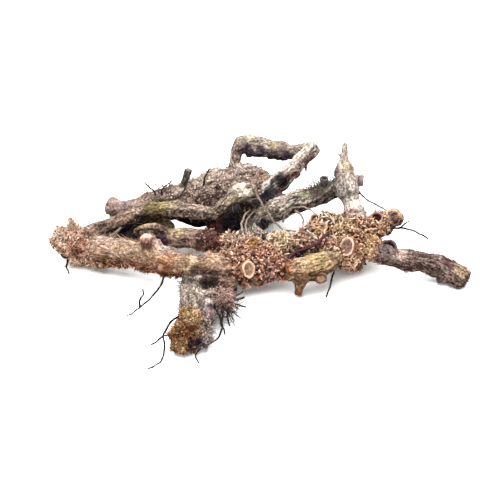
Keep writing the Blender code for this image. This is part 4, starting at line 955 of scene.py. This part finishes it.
def bark_piece(name):
    """One piece of the rhizome: its bark grooved, lumpy and coloured, with the ground of each mat flaky."""
    shapes = [stem_shape(stem) for stem in PIECES[name]] + [stub_shape(stub) for stub in STUB_PIECES[name]]
    lines = [line for line, _ in shapes]
    obj = fused(name, [skin_over(rings) for _, rings in shapes])
    points, normals = read_points(obj)
    owner, place, share, angle, centres, tangents = nearest_lines(points, lines)
    mats = mat_shares(lines, owner, share, points, centres)
    matted = np.max(list(mats.values()), axis=0)
    bare = 1 - matted
    looks = [BARK.get(line.name) for line in lines]
    grooves = np.array([STUB_GROOVES if look is None else look[3] for look in looks])[owner]
    turn = np.stack([np.cos(angle), np.sin(angle)], axis=1)

    def drawn_out(often, run, apart, seed):
        return noise3(np.column_stack([turn * often, place / run + owner * apart]), seed)

    groove, hairline, crack = (
        np.exp(-(drawn_out(*kind) / width) ** 2) for *kind, width in (GROOVES, HAIRLINES, CRACKS)
    )
    crack = crack * ramp(noise_of("crack_spots", points), -0.1, 0.3)
    lump = noise_of("lumps", points)
    grit = noise_of("grit", points)
    crumb, crumb_tag = crumbs(points, *CRUMBS)
    clod, clod_tag = crumbs(points + 0.8 * noise_of("clod_shift", points)[:, None], *CLODS)
    relief = np.zeros(len(points))
    inside = matted > 0.02
    relief[inside] = flake_relief(points[inside])

    height = bare * (grooves * (GROOVE_EDGE - groove) - HAIRLINE_DEPTH * hairline - CRACK_DEPTH * crack
                     + GRIT_HEIGHT * grit) + LUMP_HEIGHT * lump
    height += matted * (FLAKE_DEPTH * relief + CRUMB_HEIGHT * (crumb * (0.4 + 0.6 * crumb_tag) - 0.5)
                        + CLOD_HEIGHT * (clod - 0.6))
    moved = points + normals * height[:, None]
    moved[:, 2] = np.maximum(moved[:, 2], 0)
    write_points(obj, moved)

    # Painted shade in the grooves, hairlines and cracks of the bark, and in the crevices of the mats.
    crevice_shade = 1 - sum((1 - deep) * mats[mat] for mat, deep in LESS_SHADED_MATS.items() if mat in mats)
    pits = bare * (GROOVE_PIT * groove * grooves / FULL_GROOVE + HAIRLINE_PIT * hairline + CRACK_PIT * crack)
    pits += matted * crevice_shade * (CRUMB_PIT * (1 - crumb) + CLOD_PIT * (1 - clod)
                                + FLAKE_PIT * np.clip(0.1 - relief, 0, 1))
    # The painted light: lighter where the skin faces up, with random streaks, grit, specks and lumps of tone.
    up = normals[:, 2] + SLOPE_WANDER * noise_of("slopes", points)
    level = up + STREAK_LIGHT * drawn_out(*STREAKS) + grit
    level = level + SPECK_LIGHT * noise_of("specks", points) + LUMP_LIGHT * lump
    tone = stem_tones(lines, looks, owner, share + 0.1 * lump, points, normals, level)
    # The mats' ground colour: random tone from crumbs, clods and grit, and painted light from its slope and
    # flakes.
    parts = (crumb_tag, clod_tag, grit, up, relief)
    value = sum(weight * part for weight, part in zip(GROUND_SHARES, parts))
    for mat, inside in mats.items():
        tone = mixed(tone, blended(linear(MATS[mat][-3:]), value, *GROUND_STEPS), inside)
    tone = patched(points, tone, level)
    # Random blotches of tone, and the painted shade in the pits.
    blotch = np.exp(0.3 * noise_of("blotches", points) + 0.25 * noise_of("small_blotches", points))
    write_tone(obj, tone * (blotch * (1 - PIT_SHADE * np.clip(pits, 0, 1)))[:, None])
    finish_piece(obj, "polypody_bark")
    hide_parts("rhizome")
    return {
        "names": [line.name for line in lines],
        "owner": owner,
        "points": moved,
        "normals": normals,
        "tangents": tangents,
        "mats": mats,
        "matted": matted,
        "perch": ramp(crumb, 0.4, 1.0) * ramp(clod, 0.2, 0.8),
    }


def stem_tones(lines, looks, owner, share, points, normals, level):
    """The bark's colours by stem, with those of each stub growing out of the stem beside it, in painted light
    and shade.
    """
    tone = np.zeros((len(points), 3))
    for i, (line, look) in enumerate(zip(lines, looks)):
        mine = owner == i
        if look is None:
            side = lit(STUB_LOOKS[line.name][0], level[mine], *STUB_LIGHT)
            parent = blended(nearest_look(points[mine], lines, looks), level[mine], *BARK_STEPS)
            tone[mine] = mixed(parent, side, 0.85 * ramp(share[mine], 0.4, 0.75))
        else:
            tone[mine] = blended(linear(look[:3]), level[mine], *BARK_STEPS)
        # Painted shade: near-black where these stems face the front, plain brown where they face away.
        if line.name in SHADE_PAINTED_STEMS:
            brown = blended(linear(BEHIND_BARK), level[mine], *BARK_STEPS)
            tone[mine] = mixed(tone[mine], brown, ramp(normals[mine] @ BEHIND, -0.2, 0.3))
    return tone


def nearest_look(points, lines, looks):
    """The bark colours of the stem nearest to each point of a stub."""
    stems = [(line, look) for line, look in zip(lines, looks) if look is not None]
    gaps = np.array([
        (np.linalg.norm(points[:, None] - line.centres, axis=2) - line.radii).min(axis=1) for line, _ in stems
    ])
    return linear([look[:3] for _, look in stems])[gaps.argmin(axis=0)]


def patched(points, tone, level):
    """The tones with the local tints laid over them, some painted shade and some painted highlights, in the
    same painted light.
    """
    wander = noise_of("lumps", points)
    outer, inner = PATCH_EDGE
    for *centre, reach, red, green, blue, strength in PATCHES:
        away = np.linalg.norm(points - centre, axis=1) + reach * PATCH_WANDER * wander
        tinted = lit((red, green, blue), level, *PATCH_LIGHT)
        tone = mixed(tone, tinted, strength * ramp(away, reach * outer, reach * inner))
    return tone


def three_sided(rings):
    """The faces of a tube of three-point rings, closed at its start."""
    faces = [(0, 2, 1)]
    for low in range(0, 3 * (rings - 1), 3):
        for a, b in ((0, 1), (1, 2), (2, 0)):
            faces.append((low + a, low + b, low + 3 + b, low + 3 + a))
    return faces


def many(name, rows, faces):
    """One mesh object of many shapes with the same faces. Each row holds one point of every shape."""
    points = np.stack(rows, axis=1)
    count, points_each = points.shape[:2]
    shift = np.arange(count)[:, None] * points_each
    every = [tuple(face) for pattern in faces for face in (np.array(pattern) + shift).tolist()]
    return mesh_object(name, floored(points).reshape(-1, 3), every)


def floored(points):
    """The points, with any under the floor lifted to it, and any above the object's top lowered to it."""
    points[..., 2] = np.clip(points[..., 2], *HEIGHTS)
    return points


def flakes(name, base, out, lean, length, width, lift, curl, colours):
    """Papery flakes as thin curved blades. lift is their angle to the skin, and curl how far they bend."""
    side = unit(np.cross(out, lean))
    centre, angle = base - out * FLAKE_ROOTED, lift
    rows = []
    for wide, step in FLAKE_RINGS:
        half = side * (width * wide / 2)[:, None]
        face = out * np.cos(angle)[:, None] - lean * np.sin(angle)[:, None]
        rows += [centre - half, centre + half, centre + face * (FLAKE_BULGE * width)[:, None]]
        ahead = lean * np.cos(angle)[:, None] + out * np.sin(angle)[:, None]
        centre = centre + ahead * (step * length)[:, None]
        angle = angle + curl * step
    obj = many(name, rows + [centre], three_sided(len(FLAKE_RINGS)) + [(6, 7, 9), (7, 8, 9), (8, 6, 9)])
    # Each flake is painted with shade at its root and a highlight at its tip.
    write_tone(obj, (colours[:, None] * FLAKE_PAINTED_LIGHT[:, None]).reshape(-1, 3))
    return obj


def threads(name, base, heading, length, radius, curl, colours, draw, points_each):
    """Fine curly threads as three-sided tapered tubes."""
    count = len(base)
    axis = unit(draw.normal(size=(count, 3)))
    heading = unit(heading)
    centre = base - heading * THREAD_ROOTED
    step = length / (points_each - 1)
    rows = []
    for i in range(points_each):
        side = unit(np.cross(heading, axis))
        over = np.cross(heading, side)
        r = (radius * (1 - THREAD_TAPER * i / (points_each - 1)))[:, None]
        for a in angles(3):
            rows.append(centre + (side * math.cos(a) + over * math.sin(a)) * r)
        turned = np.cross(axis, heading) * (curl[:, None] / points_each)
        heading = unit(heading + turned + draw.normal(size=(count, 3)) * THREAD_STRAY)
        centre = centre + heading * step[:, None]
    end = (points_each - 1) * 3
    obj = many(name, rows, three_sided(points_each) + [(end, end + 1, end + 2)])
    write_tone(obj, np.repeat(colours, points_each * 3, axis=0))
    return obj


def drawn_colours(draw, count, colours):
    """Colours drawn between a light, a middle and a dark one."""
    picked = blended(linear(colours), draw.random(count), *DRAWN_STEPS)
    return picked * draw.uniform(0.8, 1.2, (count, 1))


def drawn_rows(draw, chance, count):
    return draw.choice(len(chance), count, p=chance / chance.sum())


def drawn(draw, count, spans):
    """A row of numbers from each span."""
    return [draw.uniform(low, high, count) for low, high in spans]


def cover_mats(pieces):
    """The flakes and fibres of every mat."""
    draw = np.random.default_rng(5)
    for mat, (_, _, _, side, flake_count, fibre_count, flake_length, flake_width, *looks) in MATS.items():
        piece = next(p for p in pieces if mat in p["mats"])
        points, normals = piece["points"], piece["normals"]
        chance = piece["mats"][mat].copy()
        if side == "below":
            chance *= ramp(normals[:, 2], 0.75, 0.2)
        chance *= ramp(points[:, 2], *OFF_FLOOR) * (0.3 + piece["perch"])
        for centre, reach in BARE:
            chance *= ramp(np.linalg.norm(points - centre, axis=1), reach * 0.7, reach)
        for kind, count in (("scales", flake_count), ("fibres", fibre_count)):
            rows = drawn_rows(draw, chance, count)
            base, out = points[rows], unit(normals[rows] + draw.normal(size=(count, 3)) * 0.2)
            lean = unit(np.cross(out, unit(draw.normal(size=(count, 3)))))
            level = draw.uniform(-0.2, 1.2, count)
            colours = patched(base, drawn_colours(draw, count, looks), level)
            if kind == "scales":
                longer, wider, lift, curl = drawn(draw, count, FLAKE_SPANS)
                length = flake_length * longer
                width = length * flake_width * wider
                obj = flakes(f"scales_{mat}", base, out, lean, length, width, lift, curl, colours)
                finish_piece(obj, "papery_scales")
            else:
                heading = out * 0.6 + lean * draw.uniform(0.5, 1.6, (count, 1))
                length, radius, curl = drawn(draw, count, FIBRE_SPANS)
                obj = threads(f"fibres_{mat}", base, heading, length, radius, curl, colours, draw,
                              FIBRE_POINTS)
                finish_piece(obj, "felt_fibres")


def felt(pieces):
    """Fine fibres that lie along the bark, paler and darker than it."""
    draw = np.random.default_rng(17)
    for name, (count, length, stray) in FELT.items():
        piece = next(p for p in pieces if name in p["names"])
        chance = (piece["owner"] == piece["names"].index(name)) * (1 - piece["matted"])
        rows = drawn_rows(draw, chance * ramp(piece["points"][:, 2], *OFF_FLOOR), count)
        base, out, tangent = (piece[key][rows] for key in ("points", "normals", "tangents"))
        heading = tangent * draw.choice((-1, 1), (count, 1)) + out * 0.25
        heading = heading + draw.normal(size=(count, 3)) * stray * 0.4
        colours = drawn_colours(draw, count, BARK[name][:3])
        colours = patched(base, colours, draw.uniform(-0.4, 1.4, count))
        base = base + out * 0.15
        longer, radius, curl = drawn(draw, count, (*FELT_SPANS, (0.0, FELT_CURL + stray)))
        obj = threads(f"felt_{name}", base, heading, length * longer, radius, curl, colours, draw,
                      FIBRE_POINTS)
        finish_piece(obj, "felt_fibres")


def scar_piece(name):
    """A cupped leaf scar: a rolled corky rim round a pitted face."""
    base, tip, _, tip_r, depth = SCARS[name]
    tip_r *= SPREAD.get(name, 1.0)
    if depth < DEEP_CUP:
        depth *= CUP_SHARE
    axis = unit(np.array(tip, float) - base)
    across = np.array(Vector(axis).orthogonal().normalized())
    side_tone, rim_tone, face_tone = linear(STUB_LOOKS[name])
    wall = min(MOST_RIM, RIM_WIDTH / tip_r)
    inner = FACE_AND_RIM - wall
    profile = [
        (0.96, -depth - 1.6), (1.02, -depth / 2 - 0.8), (1.05, -0.5), (1.03, -0.1), (0.97, 0.15), (0.9, 0.22),
        (1 - wall, 0.12), (0.94 - wall, -0.25 * depth), (0.86 - wall, -0.7 * depth), (inner, -0.95 * depth),
    ]
    profile += [(inner * k, -depth * (1 + 0.06 * math.cos(k * 6))) for k in (0.8, 0.6, 0.4, 0.2)]
    outs = spokes(across, np.cross(axis, across), SCAR_SIDES)
    level_axis = unit(np.cross(axis, (0.0, 0.0, 1.0)))
    outs -= (1 - OVALS.get(name, 1.0)) * (outs @ level_axis)[:, None] * level_axis
    shape = np.vstack([tip + outs * share * tip_r + axis * lift for share, lift in profile])
    share, lift = np.repeat(profile, SCAR_SIDES, axis=0).T
    wobble = noise_of("scar_wobble", shape)
    pit_size, pit_seed = SCAR_PITS
    pit = ramp(cells3(shape / pit_size, pit_seed)[0], 0.45, 0.1) * (share < inner + 0.2)
    shape = (shape + np.tile(outs, (len(profile), 1)) * (RAGGED.get(name, 0.3) * wobble)[:, None]
             + axis * (0.3 * noise_of("scar_bumps", shape) - 0.4 * pit)[:, None])
    points, faces = skin_over(shape.reshape(len(profile), SCAR_SIDES, 3))
    foot = len(points) - 2
    obj = mesh_object(f"scar_{name}", points, [face for face in faces if foot not in face])
    # Painted shade in the pits of the face, and random darker grit.
    pit_shade_and_grit = np.clip(pit + 0.7 * ramp(noise_of("scar_grit", shape), -0.2, 0.4), 0, 1)
    tone = mixed(face_tone, face_tone * 0.3, pit_shade_and_grit)
    tone = mixed(tone, rim_tone, ramp(share, 1 - wall - 0.16, 1 - wall + 0.04))
    tone = mixed(tone, side_tone, np.where((lift < -0.3) & (share > 0.9), 0.9, 0.0))
    tone *= (1 + 0.25 * wobble)[:, None]
    write_tone(obj, np.vstack([tone, tone[:1], tone[-1:]]))
    finish_piece(obj, "corky_scars")


def rootlets():
    """The wiry rootlets, wavy and knotted, with hair-thin side roots."""
    draw = np.random.default_rng(9)
    shells = []
    tones = []
    starts = []
    for name, route in ROOTLETS.items():
        path = spline(route, RING_STEP)
        count = len(path)
        wave = np.stack([noise3(path / WAVE_LENGTH + 9.0 * axis, 61 + axis) for axis in range(3)], axis=1)
        centres = path + wave * ROOT_WAVE * ramp(np.linspace(0, 1, count), 0, 0.3)[:, None]
        tangents, across, over = frames(centres)
        taper = np.linspace(1.0, ROOT_TIP, count)
        radii = ROOTLET_R * taper * (1 + 0.25 * noise_of("root_knots", path)) * ROOT_GIRTHS.get(name, 1.0)
        rings = centres[:, None] + spokes(across, over, ROOT_SIDES) * radii[:, None, None]
        shells.append(skin_over(floored(rings)))
        pale = PALE_ROOTS.get(name, 0.0)
        tone = linear(ROOT_DARK) * (1 - pale) + linear(ROOT_PALE) * pale
        if name == "cross_root":
            tone = linear(ROOT_PURPLE)
        tones.append(tone * (1 + 0.5 * noise_of("root_specks", shells[-1][0]))[:, None])
        rows = draw.integers(count // 4, count, max(3, count // 8))
        starts += [(centres[row], tangents[row], pale) for row in rows]
    obj = mesh_object("rootlets", *joined(shells))
    write_tone(obj, np.vstack(tones))
    finish_piece(obj, "wiry_roots")

    base, heading, pale = (np.array(column) for column in zip(*starts))
    count = len(base)
    heading = unit(heading * 0.7 + draw.normal(size=(count, 3)) * 0.7)
    colours = mixed(linear(HAIR_DARK), linear(HAIR_PALE), pale)
    length, radius, curl = drawn(draw, count, HAIR_SPANS)
    hairs = threads("hair_roots", base, heading, length, radius, curl, colours, draw, HAIR_POINTS)
    finish_piece(hairs, "wiry_roots")


def tufts():
    """Sprays of fine roots."""
    draw = np.random.default_rng(13)
    for name, (middle, spread, heading, count, length, radius, colour) in TUFTS.items():
        base = np.array(middle) + draw.normal(size=(count, 3)) * spread * 0.45
        aim = unit(np.array(heading)) + draw.normal(size=(count, 3)) * 0.45
        colours = linear(colour) * draw.uniform(0.6, 1.5, (count, 1))
        longer, thicker, curl = drawn(draw, count, TUFT_SPANS)
        obj = threads(f"tuft_{name}", base, aim, length * longer, radius * thicker, curl, colours, draw,
                      TUFT_POINTS)
        finish_piece(obj, "wiry_roots")


def finish_piece(obj, material):
    obj.data.materials.append(tone_material(material))
    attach(obj, "root")


@cache
def tone_material(name):
    """A matt skin that starts from the stored tone, with speckled colour and a bump at the same grain."""
    roughness, grain_scale, grain_depth, speckle = MATERIALS[name]
    made = bpy.data.materials.new(name)
    made.use_nodes = True
    nodes, links = made.node_tree.nodes, made.node_tree.links
    shader = nodes["Principled BSDF"]
    place = nodes.new("ShaderNodeTexCoord")
    tone = nodes.new("ShaderNodeAttribute")
    fine = nodes.new("ShaderNodeTexNoise")
    spread = nodes.new("ShaderNodeMapRange")
    tinted = nodes.new("ShaderNodeVectorMath")
    bump = nodes.new("ShaderNodeBump")
    tone.attribute_name = "tone"
    tinted.operation = "SCALE"
    for node, settings in (
        (shader, {"Roughness": roughness, "Specular IOR Level": 0.06}),
        (fine, {"Scale": grain_scale, "Detail": 6.0, "Roughness": 0.65}),
        (spread, {"From Min": 0.36, "From Max": 0.64, "To Min": 1 - speckle, "To Max": 1 + speckle}),
        (bump, {"Distance": grain_depth * MM, "Strength": 1.0}),
    ):
        for socket, value in settings.items():
            node.inputs[socket].default_value = value
    for source, output, target, socket in (
        (place, "Object", fine, "Vector"),
        (fine, "Fac", spread, "Value"),
        (tone, "Color", tinted, 0),
        (spread, "Result", tinted, "Scale"),
        (tinted, "Vector", shader, "Base Color"),
        (fine, "Fac", bump, "Height"),
        (bump, "Normal", shader, "Normal"),
    ):
        links.new(source.outputs[output], target.inputs[socket])
    return made


def floor_and_light():
    """A pale floor, an even white sky, and two broad lamps high up, at the front left and the back right."""
    bpy.ops.mesh.primitive_plane_add(size=6)
    floor = bpy.context.object
    floor.name = "floor"
    paint = bpy.data.materials.new("pale_floor")
    paint.use_nodes = True
    shader = paint.node_tree.nodes["Principled BSDF"]
    shader.inputs["Base Color"].default_value = FLOOR_COLOUR
    shader.inputs["Roughness"].default_value = 0.9
    floor.data.materials.append(paint)

    world = bpy.data.worlds.new("studio")
    bpy.context.scene.world = world
    world.use_nodes = True
    background = world.node_tree.nodes["Background"]
    background.inputs["Color"].default_value = (1.0, 1.0, 1.0, 1)
    background.inputs["Strength"].default_value = SKY_STRENGTH
    for name, (place, size, power) in LAMPS.items():
        data = bpy.data.lights.new(name, "AREA")
        data.size = size
        data.energy = power
        lamp = bpy.data.objects.new(name, data)
        lamp.location = place
        lamp.rotation_euler = Vector(place).to_track_quat("Z", "Y").to_euler()
        bpy.context.scene.collection.objects.link(lamp)


def camera():
    lift = math.radians(VIEW_ELEVATION)
    data = bpy.data.cameras.new("view")
    data.sensor_width = SENSOR
    data.lens = VIEW_FOCAL_PX / FRAME_PX * SENSOR
    data.clip_end = 20
    view = bpy.data.objects.new("view", data)
    back = np.array((0, -math.cos(lift), math.sin(lift))) * VIEW_DISTANCE
    view.location = (VIEW_AIM + back - CENTRE) * MM
    view.rotation_euler = (math.pi / 2 - lift, 0, 0)
    bpy.context.scene.collection.objects.link(view)
    bpy.context.scene.camera = view


camera()
floor_and_light()
bark = [bark_piece(name) for name in PIECES]
cover_mats(bark)
felt(bark)
for scar_name, scar in SCARS.items():
    if scar[4] > SHALLOW_CUP:
        scar_piece(scar_name)
rootlets()
tufts()

bpy.context.scene.view_settings.view_transform = "Standard"
